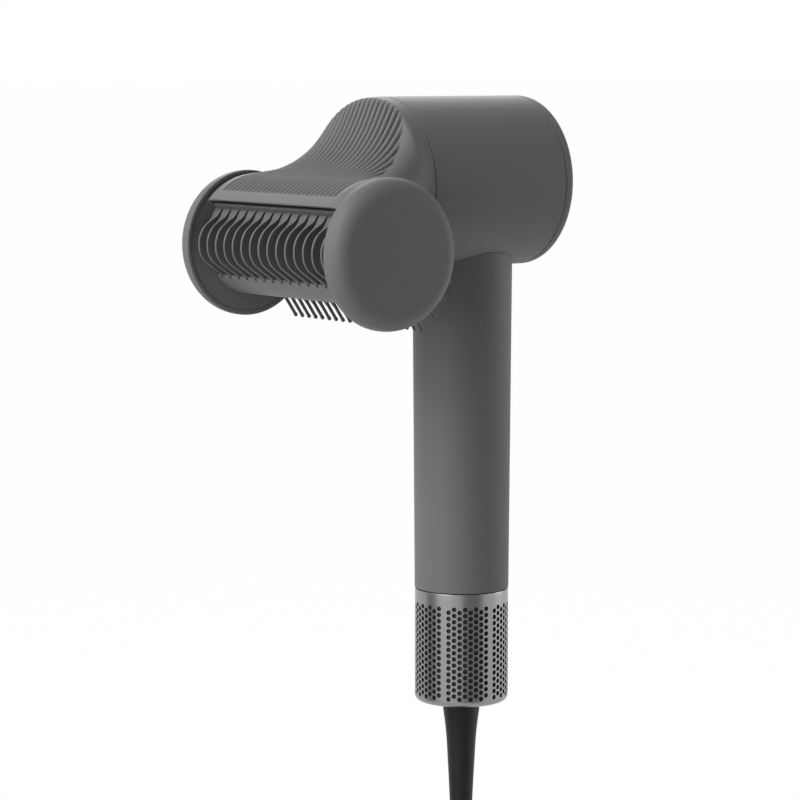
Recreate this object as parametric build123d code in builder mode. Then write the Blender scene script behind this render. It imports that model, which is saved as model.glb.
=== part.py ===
"""A hair dryer with a wide comb nozzle, made as the separate pieces it comes apart into.

Millimetres. The origin is the middle of the round grip, on its axis. +Z runs up the grip
to the head, the air leaves the head towards -Y, and X runs across the nozzle's barrel.
"""

import os
from math import copysign, cos, degrees, exp, hypot, pi, radians, sin, sqrt, tan

from build123d import *

os.makedirs("parts", exist_ok=True)

# Driving dimensions -------------------------------------------------------------------

# Clearances
SEAM = 0.3  # the dark line between two covers
SNUG = 0.1  # round a piece that is pushed into its seat
RUNNING = 0.05  # round a shaft or collar that turns in its seat
SLIDING = 0.2  # round a piece that slides

# Head: a drum across the top of the grip
HEAD_HEIGHT = 102.0  # its axis above the middle of the grip
HEAD_RADIUS = 35.0
HEAD_WALL = 2.2
HEAD_FRONT = 40.4  # from the grip's axis forward to the outlet
HEAD_REAR = 26.6  # and back to the rear cap
CAP_DEPTH = 5.0
CAP_EDGE = 3.0  # rounding of the rear cap
CAP_PLUG = 6.0  # how far the cap goes into the shell
DUCT_RADIUS = 15.5  # the opening between grip and head

# Outlet and heater, inside the head
OUTLET_SEAT_DEPTH = 10.0
OUTLET_SEAT_WALL = 2.6
GRILLE_DEPTH = 2.6
GRILLE_BAR = 1.4
GRILLE_HUB = 5.0
GRILLE_INNER = 0.62  # its inner ring, as a share of the outer one
ION_LENGTH = 5.0
ION_NEEDLE = 1.0
HEATER_LENGTH = 17.0
HEATER_ARM = 25.7
MICA = 0.8
WIRE = 1.3
WINDINGS = 5
CUTOUT_DEPTH = 4.0

# Grip: a tapered tube
GRIP_TOP_RADIUS = 20.6
GRIP_FOOT_RADIUS = 19.6
GRIP_FOOT = 67.1  # from the middle of the grip down to the inlet cage
GRIP_WALL = 1.8
CHASSIS_WALL = 1.2

# Controls on the back of the grip
PANEL_WIDTH = 13.0
PANEL_LENGTH = 54.0
PANEL_DROP = 6.0  # from the head down to the panel
PANEL_FACE = 19.1  # its flat face behind the grip's axis
PANEL_THICKNESS = 2.5
PANEL_FLANGE = 1.4  # the lip that holds it behind the tube
BUTTON_RADIUS = 4.4
BUTTON_PROUD = 1.0
BUTTON_TRAVEL = 0.8
BUTTON_PLACES = (6.5, 18.5)  # heat and speed, above the panel's middle
SLIDER_WIDTH = 6.0
SLIDER_PLACE = -17.0
SLIDER_TRAVEL = 5.0
SLIDER_PAD = 1.8
SLIDER_GROOVE = 0.8
CONTROL_FLANGE = 0.9  # the lip that holds a button or the slider behind the panel
LENS_RADIUS = 0.8
LENS_PITCH = 3.2
LENS_PLACE = -2.5
BOARD = 1.6
SWITCH_WIDTH = 6.0
SWITCH_HEIGHT = 0.9
CAPACITOR = (4.0, -18.0)  # radius, then its place from the board's middle
CHIP = (9.0, 9.0, -2.0)  # width, length and place
RELAY = (11.0, 14.0, 15.0)
PARTS_DEPTH = 5.0

# Motor, inside the grip
MOTOR_ROOM = 2.1  # from the screws' bosses up to the motor
MOTOR_LENGTH = 46.0
SHROUD_RADIUS = 15.2
SHROUD_WALL = 1.2
SHAFT_RADIUS = 1.5
BEARING_RADIUS = 4.0
BEARING_WIDTH = 3.0
MAGNET_RADIUS = 5.6
STATOR_RADIUS = 9.5
STATOR_LENGTH = 12.0
STATOR_WALL = 1.5
STATOR_POLE = 2.6
STATOR_POLES = 6
WINDING_DEPTH = 2.0
WINDING_INSET = 0.5
AIR_GAP = 0.6
MOTOR_INSET = 2.0  # from the shroud's top down to the motor's frame
FAN_ROOM = 5.0  # from the impeller up to the motor's frame
MOUNT_WIDTH = 4.0
IMPELLER_BLADES = 9
IMPELLER_LENGTH = 11.0
IMPELLER_INSET = 1.0
BLADE_THICKNESS = 0.9
BLADE_LEAN = 35.0
GUIDE_VANES = 7

# Inlet cage round the foot of the grip
CAGE_RADIUS = 19.5
CAGE_LENGTH = 47.6
CAGE_WALL = 0.8
CAGE_EDGE = 3.0
CAGE_PANELS = 6
HOLE_RADIUS = 1.9
HOLE_COLUMNS = 3  # in each panel
HOLE_ROWS = 6
HOLE_PITCH_ACROSS = 5.2
HOLE_PITCH_UP = 5.8
COLUMN_RADIUS = 7.9  # the stem that carries the cord through the cage
CORD_BORE = 4.2
SCREEN_WALL = 0.5
TAIL_PLUG = 6.0  # how far the tail frame goes up into the grip
COLLAR_DEPTH = 5.0  # and down into the cage
COLLAR_BORE = 16.2
SPIDER_ARM = 2.0
SPIDER_DROP = 1.0  # from the frame's top to its arms
BOSS_PLACE = 13.6
BOSS_RADIUS = 3.0
SCREW_RADIUS = 1.1
SCREW_LENGTH = 7.0
SCREW_HEAD = 1.3
PAD_DEPTH = 3.0

# Nozzle: a saddle-shaped neck that spreads the air along a barrel
BARREL_FORWARD = 74.3  # the barrel's axis in front of the grip's axis
BARREL_DROP = 24.9  # and below the head's axis
BARREL_HALF = 46.0
LIP_RADIUS = 28.9
LIP_START = 43.5  # degrees up from straight ahead
NOZZLE_WALL = 2.6
LOWER_RADIUS = 20.8
LOWER_WALL = 2.0
LOWER_FRONT = -41.0  # degrees, where the lower shell starts below the comb
LOWER_REAR = -166.0  # and where it meets the neck
SLOT_REAR = 100.0  # degrees, where the wall over the air slot meets the neck
COUPLING_REACH = 6.0  # how far the nozzle goes into the head
COUPLING_WALL = 2.4
FLANGE_DEPTH = 2.0
FLANGE_INSET = 1.1
MAGNETS = 6
NOZZLE_MAGNET = 1.5  # radius of each magnet in the coupling, and its depth
MAGNET_DEPTH = 1.5

# How the neck changes along its way from the head (0) to the barrel (1)
NECK_SECTIONS = 14
NECK_POINTS = 24
NECK_OVERLAP = 0.2  # how far it goes over the barrel's axis, as a share of the lip's radius
SHOULDER = 0.2  # where its top starts to fall
SHOULDER_EDGE = 0.03
NECK_FALL = 3.4
NECK_SPREAD = 1.1  # one over where its sides reach the barrel's width
NECK_RISE = 2.2  # one over where its floor reaches the barrel
HEAD_SQUARENESS = 2.0  # a circle
SLOT_SQUARENESS = 7.0  # nearly a rectangle
SQUARING = 2.2

# Comb across the air slot
TOOTH_PITCH = 6.1
TOOTH = 1.05
TOOTH_FRONT = 27.3  # how far the teeth stand in front of the barrel's axis
COMB_RADIUS = 23.0
COMB_WALL = 1.8
COMB_BACK = 17.6  # the wall behind the teeth
COMB_EDGE = 5.0  # degrees, the ledge between the pads and the wall behind the teeth
COMB_TUCK = 3.0  # degrees that the comb reaches below the lower shell's edge
PAD_END = 28.0  # degrees, where a tooth's wide root ends
SLIT = 1.0
SLIT_DEPTH = 1.2
TOOTH_SHOULDER = 4.9  # the top of a tooth's straight front above the barrel's axis
TOOTH_CHIN = -4.1  # and the foot of it below
TOOTH_EDGE = 5.0
TOOTH_SLOT = 3.5  # degrees that each tooth's notch runs into the lower shell

# Bristles under the barrel
ROW_ANGLES = (-124.0, -136.0, -148.0, -160.0)
BRISTLE_PITCH = 4.8
BRISTLE_MARGIN = 2.8  # from the end of the barrel to the first bristle
BRISTLE_RADIUS = 0.65
BRISTLE_TIP = 37.5  # from the barrel's axis
STRIP = 1.6
STRIP_FLANGE = 1.4
STRIP_END = 0.5

# Side discs that close the barrel
DISC_RADIUS = 29.8
DISC_THICKNESS = 10.6
DISC_EDGE = 7.5
DISC_INNER_EDGE = 1.2
DISC_DOME = 0.6
DISC_RIM = 2.6  # width of the rim round its inner face
DISC_RECESS = 0.6
DISC_SPIGOT = 4.0

# Mains lead
CORD_DIAMETER = 7.0
RELIEF_LENGTH = 51.0
RELIEF_PLUG = 10.0
RELIEF_SHAPE = (  # share of its length, radius
    (0.0, 7.9),
    (0.08, 7.6),
    (0.28, 6.2),
    (0.55, 5.45),
    (1.0, 4.4),
)
CORD_CORNER = -198.6  # the height where the lead turns towards its coil
COIL_MIDDLE = (-8.0, 0.0, -252.8)
COIL_RADIUS = 37.0
BUNDLE_RADIUS = 11.8  # of the turns, side by side
TAIL_LENGTH = 40.0
COIL_ENTRY = 45.0  # degrees, where the lead joins its coil
TIE_PLACE = 14.0  # degrees, where the tie is
TIE_WALL = 1.4
TIE_WIDTH = 13.0
PLUG_BODY = (25.0, 15.0, 30.0)
PLUG_CORNER = 5.0
PLUG_EDGE = 2.0
PLUG_NECK = 12.0
PLUG_TAPER = 12.0
BLADE = (1.5, 6.3, 17.0)
BLADE_SPACING = 12.7

# Planes and shared shapes -------------------------------------------------------------

HEAD_AXIS = Axis((0, 0, HEAD_HEIGHT), (0, -1, 0))
HEAD_SIDE = Plane(origin=(0, 0, HEAD_HEIGHT), x_dir=(0, -1, 0), z_dir=(-1, 0, 0))
BARREL_CENTRE = (0, -BARREL_FORWARD, HEAD_HEIGHT - BARREL_DROP)
BARREL_SIDE = Plane(origin=BARREL_CENTRE, x_dir=(0, -1, 0), z_dir=(-1, 0, 0))
BARREL_AXIS = Axis(BARREL_CENTRE, (1, 0, 0))


def across_head(forward):
    """A plane across the head, this far in front of the grip's axis and facing the outlet."""
    return Plane(origin=(0, -forward, HEAD_HEIGHT), x_dir=(1, 0, 0), z_dir=(0, -1, 0))


def out_from_barrel(angle):
    """A plane through the barrel's axis that faces outwards at this angle up from ahead."""
    outwards = (0, -cos(radians(angle)), sin(radians(angle)))
    return Plane(origin=BARREL_CENTRE, x_dir=(1, 0, 0), z_dir=outwards)


def polar(radius, angle):
    """The point at this radius and angle in degrees."""
    return (radius * cos(radians(angle)), radius * sin(radians(angle)))


def arc_band(inner, outer, start, end):
    """The face of a strip of wall between two radii and two angles."""
    with BuildLine() as edge:
        CenterArc((0, 0), outer, start, end - start)
        CenterArc((0, 0), inner, start, end - start)
        Line(polar(inner, start), polar(outer, start))
        Line(polar(inner, end), polar(outer, end))
    make_face(edge.edges())


def ring(outer, inner):
    """The face between two circles."""
    Circle(outer)
    Circle(inner, mode=Mode.SUBTRACT)


def tube(plane, outer, inner, length):
    """A plain ring of wall that starts on a plane and runs along its normal."""
    with BuildPart() as wall:
        with BuildSketch(plane):
            ring(outer, inner)
        extrude(amount=length)
    return wall.part


def corner_near(sketch, x, y):
    """The corner of a sketch's face that lies nearest to a point in its own plane."""
    return sketch.vertices().sort_by_distance((x, y, 0))[0]


def finish(piece, name):
    """Names a piece and writes it to its own file."""
    piece.label = name
    export_step(piece, f"parts/{name}.step")


# Head ---------------------------------------------------------------------------------

head_bore = HEAD_RADIUS - HEAD_WALL

with BuildPart() as head_shell:
    with BuildSketch(across_head(-HEAD_REAR)):
        ring(HEAD_RADIUS, head_bore)
    extrude(amount=HEAD_REAR + HEAD_FRONT - SEAM / 2)
    with BuildSketch(Plane.XY.offset(HEAD_HEIGHT - HEAD_RADIUS)):
        Circle(DUCT_RADIUS)
    extrude(amount=HEAD_RADIUS / 2, mode=Mode.SUBTRACT)
finish(head_shell.part, "head_shell")

cap_front = -(HEAD_REAR + SEAM)
cap_face = -(HEAD_REAR + CAP_DEPTH)
cap_plug_radius = head_bore - SNUG
cap_bore = cap_plug_radius - HEAD_WALL
with BuildPart() as rear_cap:
    with BuildSketch(HEAD_SIDE):
        with BuildLine():
            Polyline(
                (cap_face, 0),
                (cap_face, HEAD_RADIUS),
                (cap_front, HEAD_RADIUS),
                (cap_front, cap_plug_radius),
                (CAP_PLUG - HEAD_REAR, cap_plug_radius),
                (CAP_PLUG - HEAD_REAR, cap_bore),
                (cap_face + HEAD_WALL, cap_bore),
                (cap_face + HEAD_WALL, 0),
                close=True,
            )
        outline = make_face()
        fillet(corner_near(outline, cap_face, HEAD_RADIUS), CAP_EDGE)
    revolve(axis=HEAD_AXIS)
finish(rear_cap.part, "rear_cap")

# The steel seat that the nozzle turns in, and the grille behind it
seat_outer = head_bore - SNUG
seat_bore = seat_outer - OUTLET_SEAT_WALL
seat_front = HEAD_FRONT - SEAM
seat_rear = seat_front - OUTLET_SEAT_DEPTH
finish(tube(across_head(seat_rear), seat_outer, seat_bore, OUTLET_SEAT_DEPTH), "outlet_seat")

grille_front = seat_rear - SNUG
grille_rear = grille_front - GRILLE_DEPTH
with BuildPart() as outlet_grille:
    with BuildSketch(across_head(grille_rear)):
        for share in (1.0, GRILLE_INNER):
            ring(share * seat_outer, share * seat_outer - GRILLE_BAR)
        Circle(GRILLE_HUB)
        with PolarLocations(0, 3):
            Rectangle(2 * seat_outer - GRILLE_BAR, GRILLE_BAR)
    extrude(amount=GRILLE_DEPTH)
finish(outlet_grille.part, "outlet_grille")

with BuildPart() as ion_emitter:
    with BuildSketch(across_head(grille_front + SNUG)):
        Circle(GRILLE_HUB - SNUG)
    extrude(amount=ION_LENGTH)
    with BuildSketch(across_head(grille_front + ION_LENGTH)):
        Circle(ION_NEEDLE)
    extrude(amount=ION_LENGTH / 2, taper=8)
finish(ion_emitter.part, "ion_emitter")

# Heater: wire wound round a star of mica plates, inside a mica sleeve
sleeve_front = grille_rear - SNUG
sleeve_bore = seat_outer - MICA
with BuildPart() as heater_sleeve:
    with BuildSketch(across_head(-DUCT_RADIUS)):
        ring(seat_outer, sleeve_bore)
    extrude(amount=DUCT_RADIUS + sleeve_front)
    with BuildSketch(Plane.XY.offset(HEAD_HEIGHT - HEAD_RADIUS)):
        Circle(DUCT_RADIUS - SNUG)
    extrude(amount=HEAD_RADIUS / 2, mode=Mode.SUBTRACT)
finish(heater_sleeve.part, "heater_sleeve")

heater_front = sleeve_front - SNUG
heater_rear = heater_front - HEATER_LENGTH
with BuildPart() as heater_frame:
    with BuildSketch(across_head(heater_rear)):
        with PolarLocations(0, 3):
            Rectangle(2 * HEATER_ARM, MICA)
    extrude(amount=HEATER_LENGTH)
    with BuildSketch(across_head(heater_front - 2 * MICA)):
        with PolarLocations(0, 3):
            Rectangle(2 * (sleeve_bore - SLIDING), MICA)
    extrude(amount=2 * MICA)
finish(heater_frame.part, "heater_frame")

winding_pitch = (HEATER_LENGTH - 3 * MICA - WIRE) / WINDINGS
wire_inner = HEATER_ARM + MICA
with BuildPart() as heater_windings:
    for turn in range(WINDINGS):
        with BuildSketch(across_head(heater_rear + (turn + 0.5) * winding_pitch)):
            RegularPolygon(wire_inner + WIRE, 6)
            RegularPolygon(wire_inner, 6, mode=Mode.SUBTRACT)
        extrude(amount=WIRE)
finish(heater_windings.part, "heater_windings")

with BuildPart() as thermal_cutout:
    with BuildSketch(across_head(heater_rear - SNUG)):
        Circle(GRILLE_HUB)
    extrude(amount=-CUTOUT_DEPTH)
    with BuildSketch(across_head(heater_rear - SNUG - CUTOUT_DEPTH)):
        Rectangle(3 * GRILLE_HUB, CUTOUT_DEPTH)
    extrude(amount=-MICA)
finish(thermal_cutout.part, "thermal_cutout")

# A dish behind the duct that turns the air forward
guide_radius = seat_outer - SNUG
guide_face = -DUCT_RADIUS - SNUG
guide_depth = HEAD_REAR - CAP_PLUG - DUCT_RADIUS - 2 * SNUG
with BuildPart() as air_guide:
    with BuildSketch(HEAD_SIDE):
        with BuildLine():
            Polyline(
                (guide_face - guide_depth, 0),
                (guide_face - guide_depth, cap_bore / 2),
                (guide_face - MICA, guide_radius),
                (guide_face, guide_radius),
                (guide_face, guide_radius - MICA),
                (guide_face - guide_depth + 2 * MICA, cap_bore / 2),
                (guide_face - guide_depth + 2 * MICA, 0),
                close=True,
            )
        make_face()
    revolve(axis=HEAD_AXIS)
finish(air_guide.part, "air_guide")

# Grip ---------------------------------------------------------------------------------

grip_slope = (GRIP_TOP_RADIUS - GRIP_FOOT_RADIUS) / (GRIP_FOOT + HEAD_HEIGHT - HEAD_RADIUS)
grip_end = HEAD_HEIGHT - HEAD_RADIUS / 2
grip_end_radius = GRIP_FOOT_RADIUS + grip_slope * (grip_end + GRIP_FOOT)


panel_height = HEAD_HEIGHT - HEAD_RADIUS - PANEL_DROP - PANEL_LENGTH / 2


def panel_plane(distance):
    """A plane across the control panel, this far behind the grip's axis and facing back."""
    return Plane(origin=(0, distance, panel_height), x_dir=(-1, 0, 0), z_dir=(0, 1, 0))


with BuildPart() as handle_tube:
    with BuildSketch(Plane.XZ):
        with BuildLine():
            Polyline(
                (GRIP_FOOT_RADIUS, -GRIP_FOOT),
                (grip_end_radius, grip_end),
                (grip_end_radius - GRIP_WALL, grip_end),
                (GRIP_FOOT_RADIUS - GRIP_WALL, -GRIP_FOOT),
                close=True,
            )
        make_face()
    revolve(axis=Axis.Z)
    with BuildSketch(across_head(-HEAD_RADIUS)):
        Circle(HEAD_RADIUS + SEAM / 2)
    extrude(amount=2 * HEAD_RADIUS, mode=Mode.SUBTRACT)
    with BuildSketch(panel_plane(GRIP_FOOT_RADIUS / 2)):
        SlotOverall(PANEL_LENGTH, PANEL_WIDTH, rotation=90)
    extrude(amount=GRIP_FOOT_RADIUS, mode=Mode.SUBTRACT)
finish(handle_tube.part, "handle_tube")

grip_bore = GRIP_FOOT_RADIUS - GRIP_WALL
chassis_outer = grip_bore - SNUG
chassis_bore = chassis_outer - CHASSIS_WALL
chassis_foot = TAIL_PLUG - GRIP_FOOT + SNUG
chassis_top = HEAD_HEIGHT - HEAD_RADIUS - SEAM - SNUG
plate_back = PANEL_FACE - PANEL_THICKNESS
flange_back = plate_back - PANEL_FLANGE
part_back = flange_back - SLIDING - CONTROL_FLANGE
board_front = part_back - BUTTON_TRAVEL - SWITCH_HEIGHT - SLIDING
window_width = PANEL_WIDTH + 2 * (PANEL_FLANGE + SLIDING + SEAM)

with BuildPart() as inner_chassis:
    with BuildSketch(Plane.XY.offset(chassis_foot)):
        ring(chassis_outer, chassis_bore)
    extrude(amount=chassis_top - chassis_foot)
    with BuildSketch(Plane.XY.offset(chassis_foot)):
        with Locations((BOSS_PLACE, 0), (-BOSS_PLACE, 0)):
            Circle(BOSS_RADIUS)
    extrude(amount=SCREW_LENGTH)
    with BuildSketch(Plane.XY.offset(chassis_foot)):
        with Locations((BOSS_PLACE, 0), (-BOSS_PLACE, 0)):
            Circle(SCREW_RADIUS + RUNNING)
    extrude(amount=SCREW_LENGTH, mode=Mode.SUBTRACT)
    with BuildSketch(panel_plane(board_front + SNUG)):
        Rectangle(window_width, window_width + PANEL_LENGTH - PANEL_WIDTH)
    extrude(amount=GRIP_FOOT_RADIUS, mode=Mode.SUBTRACT)
finish(inner_chassis.part, "inner_chassis")

with BuildPart() as control_plate:
    with BuildSketch(panel_plane(plate_back)):
        SlotOverall(PANEL_LENGTH - 2 * SNUG, PANEL_WIDTH - 2 * SNUG, rotation=90)
    extrude(amount=PANEL_THICKNESS)
    with BuildSketch(panel_plane(flange_back)):
        SlotOverall(PANEL_LENGTH + PANEL_FLANGE, PANEL_WIDTH + PANEL_FLANGE, rotation=90)
    extrude(amount=PANEL_FLANGE)
    with BuildSketch(panel_plane(flange_back)):
        for place in BUTTON_PLACES:
            with Locations((0, place)):
                Circle(BUTTON_RADIUS + SLIDING)
        with Locations((0, SLIDER_PLACE + SLIDER_TRAVEL / 2)):
            Rectangle(SLIDER_WIDTH + 2 * SLIDING, SLIDER_WIDTH + SLIDER_TRAVEL + 2 * SLIDING)
        with Locations((0, LENS_PLACE)):
            with GridLocations(LENS_PITCH, 1, 3, 1):
                Circle(LENS_RADIUS + RUNNING)
    extrude(amount=PANEL_FLANGE + PANEL_THICKNESS, mode=Mode.SUBTRACT)
finish(control_plate.part, "control_plate")

with BuildPart() as indicator_lenses:
    with BuildSketch(panel_plane(flange_back)):
        with Locations((0, LENS_PLACE)):
            with GridLocations(LENS_PITCH, 1, 3, 1):
                Circle(LENS_RADIUS)
    extrude(amount=PANEL_FLANGE + PANEL_THICKNESS)
finish(indicator_lenses.part, "indicator_lenses")


def push_button(place):
    """A round button with a flange that keeps it behind the panel."""
    with BuildPart() as button:
        with BuildSketch(panel_plane(part_back)):
            with Locations((0, place)):
                Circle(BUTTON_RADIUS + CONTROL_FLANGE)
        extrude(amount=CONTROL_FLANGE)
        with BuildSketch(panel_plane(part_back)):
            with Locations((0, place)):
                Circle(BUTTON_RADIUS)
        extrude(amount=PANEL_FACE + BUTTON_PROUD - part_back)
        chamfer(button.faces().sort_by(Axis.Y)[-1].edges(), BUTTON_PROUD / 3)
    return button.part


finish(push_button(BUTTON_PLACES[0]), "heat_button")
finish(push_button(BUTTON_PLACES[1]), "speed_button")

pad_foot = PANEL_FACE + SLIDING
with BuildPart() as power_slider:
    with BuildSketch(panel_plane(part_back)):
        with Locations((0, SLIDER_PLACE)):
            Rectangle(SLIDER_WIDTH + 2 * CONTROL_FLANGE, 2 * SLIDER_WIDTH)
    extrude(amount=CONTROL_FLANGE)
    with BuildSketch(panel_plane(part_back)):
        with Locations((0, SLIDER_PLACE)):
            Rectangle(SLIDER_WIDTH, SLIDER_WIDTH)
    extrude(amount=pad_foot - part_back)
    with BuildSketch(panel_plane(pad_foot)):
        with Locations((0, SLIDER_PLACE)):
            RectangleRounded(1.5 * SLIDER_WIDTH, 2 * SLIDER_WIDTH, 1.5)
    extrude(amount=SLIDER_PAD)
    with BuildSketch(panel_plane(pad_foot + SLIDER_PAD)):
        with Locations((0, SLIDER_PLACE)):
            with GridLocations(1, 3 * SLIDER_GROOVE, 1, 4):
                Rectangle(SLIDER_WIDTH, SLIDER_GROOVE)
    extrude(amount=-SLIDER_PAD / 3, mode=Mode.SUBTRACT)
finish(power_slider.part, "power_slider")

board_half = sqrt(chassis_bore**2 - board_front**2) - SLIDING
with BuildPart() as control_board:
    with BuildSketch(panel_plane(board_front - BOARD)):
        Rectangle(2 * board_half, PANEL_LENGTH)
    extrude(amount=BOARD)
finish(control_board.part, "control_board")

with BuildPart() as board_parts:
    with BuildSketch(panel_plane(board_front)):
        for place in BUTTON_PLACES:
            with Locations((0, place)):
                Rectangle(SWITCH_WIDTH, SWITCH_WIDTH)
        with Locations((0, SLIDER_PLACE + SLIDER_TRAVEL / 2)):
            Rectangle(SLIDER_WIDTH, 2.5 * SLIDER_WIDTH)
    extrude(amount=SWITCH_HEIGHT)
    with BuildSketch(panel_plane(board_front - BOARD)):
        with Locations((0, CAPACITOR[1])):
            Circle(CAPACITOR[0])
        for width, length, height in (CHIP, RELAY):
            with Locations((0, height)):
                Rectangle(width, length)
    extrude(amount=-PARTS_DEPTH)
finish(board_parts.part, "board_parts")

# Motor and fan ------------------------------------------------------------------------

motor_foot = TAIL_PLUG + SCREW_LENGTH + MOTOR_ROOM - GRIP_FOOT
motor_top = motor_foot + MOTOR_LENGTH
shroud_bore = SHROUD_RADIUS - SHROUD_WALL
finish(
    tube(Plane.XY.offset(motor_foot), SHROUD_RADIUS, shroud_bore, MOTOR_LENGTH),
    "motor_shroud",
)

with BuildPart() as motor_mounts:
    for height in (motor_foot + MOUNT_WIDTH, motor_top - 2 * MOUNT_WIDTH):
        with BuildSketch(Plane.XY.offset(height)):
            ring(chassis_bore - SNUG, SHROUD_RADIUS + SNUG)
        extrude(amount=MOUNT_WIDTH)
finish(motor_mounts.part, "motor_mounts")

frame_bore = STATOR_RADIUS + SNUG
frame_outer = frame_bore + SHROUD_WALL
frame_top = motor_top - MOTOR_INSET
frame_foot = motor_foot + IMPELLER_LENGTH + FAN_ROOM
upper_bearing = frame_top - BEARING_WIDTH
with BuildPart() as motor_frame:
    with BuildSketch(Plane.XY.offset(frame_foot)):
        ring(frame_outer, frame_bore)
    extrude(amount=frame_top - frame_foot)
    with BuildSketch(Plane.XY.offset(frame_foot)):
        ring(frame_outer, BEARING_RADIUS + RUNNING)
    extrude(amount=BEARING_WIDTH)
    with BuildSketch(Plane.XY.offset(frame_foot + BEARING_WIDTH)):
        with PolarLocations((frame_bore + shroud_bore) / 2, GUIDE_VANES):
            Rectangle(shroud_bore - frame_bore - 2 * SNUG, SHROUD_WALL)
    extrude(amount=STATOR_LENGTH)
finish(motor_frame.part, "motor_frame")

with BuildPart() as motor_bridge:
    with BuildSketch(Plane.XY.offset(upper_bearing)):
        ring(frame_bore - SNUG, BEARING_RADIUS + RUNNING)
    extrude(amount=BEARING_WIDTH)
finish(motor_bridge.part, "motor_bridge")

with BuildPart() as motor_bearings:
    for height in (frame_foot, upper_bearing):
        with BuildSketch(Plane.XY.offset(height)):
            ring(BEARING_RADIUS, SHAFT_RADIUS + RUNNING)
        extrude(amount=BEARING_WIDTH)
finish(motor_bearings.part, "motor_bearings")

stator_foot = (frame_foot + frame_top - STATOR_LENGTH) / 2
stator_bore = MAGNET_RADIUS + AIR_GAP
with BuildPart() as motor_stator:
    with BuildSketch(Plane.XY.offset(stator_foot)):
        ring(STATOR_RADIUS, STATOR_RADIUS - STATOR_WALL)
        with PolarLocations((stator_bore + STATOR_RADIUS - STATOR_WALL / 2) / 2, STATOR_POLES):
            Rectangle(STATOR_RADIUS - STATOR_WALL / 2 - stator_bore, STATOR_POLE)
    extrude(amount=STATOR_LENGTH)
finish(motor_stator.part, "motor_stator")

with BuildPart() as stator_windings:
    for height in (stator_foot - SNUG - WINDING_DEPTH, stator_foot + STATOR_LENGTH + SNUG):
        with BuildSketch(Plane.XY.offset(height)):
            ring(STATOR_RADIUS - WINDING_INSET, stator_bore + WINDING_INSET)
        extrude(amount=WINDING_DEPTH)
finish(stator_windings.part, "stator_windings")

shaft_foot = motor_foot + IMPELLER_INSET
with BuildPart() as motor_shaft:
    with BuildSketch(Plane.XY.offset(shaft_foot)):
        Circle(SHAFT_RADIUS)
    extrude(amount=frame_top + SEAM - shaft_foot)
finish(motor_shaft.part, "motor_shaft")

finish(
    tube(
        Plane.XY.offset(stator_foot),
        MAGNET_RADIUS,
        SHAFT_RADIUS + RUNNING,
        STATOR_LENGTH,
    ),
    "rotor_magnet",
)

impeller_foot = shaft_foot + IMPELLER_INSET
hub_radius = shroud_bore / 2
blade_offset = IMPELLER_LENGTH / 2 * sin(radians(BLADE_LEAN))
blade_reach = sqrt((shroud_bore - 2 * SLIDING) ** 2 - blade_offset**2)
with BuildPart() as impeller:
    with BuildSketch(Plane.XY.offset(impeller_foot)):
        Circle(hub_radius)
    extrude(amount=IMPELLER_LENGTH)
    for blade in range(IMPELLER_BLADES):
        turn = 360.0 * blade / IMPELLER_BLADES
        out = (cos(radians(turn)), sin(radians(turn)), 0)
        middle = (0, 0, impeller_foot + IMPELLER_LENGTH / 2)
        with BuildSketch(Plane(origin=middle, x_dir=(-out[1], out[0], 0), z_dir=out)):
            Rectangle(BLADE_THICKNESS, IMPELLER_LENGTH, rotation=BLADE_LEAN)
        extrude(amount=blade_reach)
    with BuildSketch(Plane.XY.offset(impeller_foot)):
        Circle(SHAFT_RADIUS + RUNNING)
    extrude(amount=IMPELLER_LENGTH, mode=Mode.SUBTRACT)
finish(impeller.part, "impeller")

# Foot of the grip: a frame that carries the cord, inside a cage that slides off down it --

cage_bore = CAGE_RADIUS - CAGE_WALL
cage_top = -GRIP_FOOT - SEAM
cage_foot = -GRIP_FOOT - CAGE_LENGTH - SEAM
collar_foot = -GRIP_FOOT - COLLAR_DEPTH
with BuildPart() as tail_frame:
    with BuildSketch(Plane.XY.offset(-GRIP_FOOT)):
        ring(grip_bore - SNUG, COLLAR_BORE)
    extrude(amount=TAIL_PLUG)
    with BuildSketch(Plane.XY.offset(collar_foot)):
        ring(cage_bore - SLIDING, COLLAR_BORE)
    extrude(amount=COLLAR_DEPTH)
    with BuildSketch(Plane.XY.offset(collar_foot)):
        with PolarLocations(0, 2, start_angle=45):
            Rectangle(2 * COLLAR_BORE + SPIDER_ARM / 2, SPIDER_ARM)
    extrude(amount=COLLAR_DEPTH + TAIL_PLUG - SPIDER_DROP)
    with BuildSketch(Plane.XY.offset(TAIL_PLUG - GRIP_FOOT)):
        with Locations((BOSS_PLACE, 0), (-BOSS_PLACE, 0)):
            Circle(BOSS_RADIUS)
    extrude(amount=-PAD_DEPTH)
    with BuildSketch(Plane.XY.offset(TAIL_PLUG - GRIP_FOOT)):
        with Locations((BOSS_PLACE, 0), (-BOSS_PLACE, 0)):
            Circle(SCREW_RADIUS + SNUG)
    extrude(amount=-PAD_DEPTH, mode=Mode.SUBTRACT)
    with BuildSketch(Plane.XY.offset(cage_foot + SEAM)):
        Circle(COLUMN_RADIUS)
    extrude(amount=TAIL_PLUG - GRIP_FOOT - SPIDER_DROP - cage_foot - SEAM)
    with BuildSketch(Plane.XY.offset(cage_foot + SEAM)):
        Circle(CORD_BORE)
    extrude(amount=CAGE_LENGTH + TAIL_PLUG, mode=Mode.SUBTRACT)
finish(tail_frame.part, "tail_frame")

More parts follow.
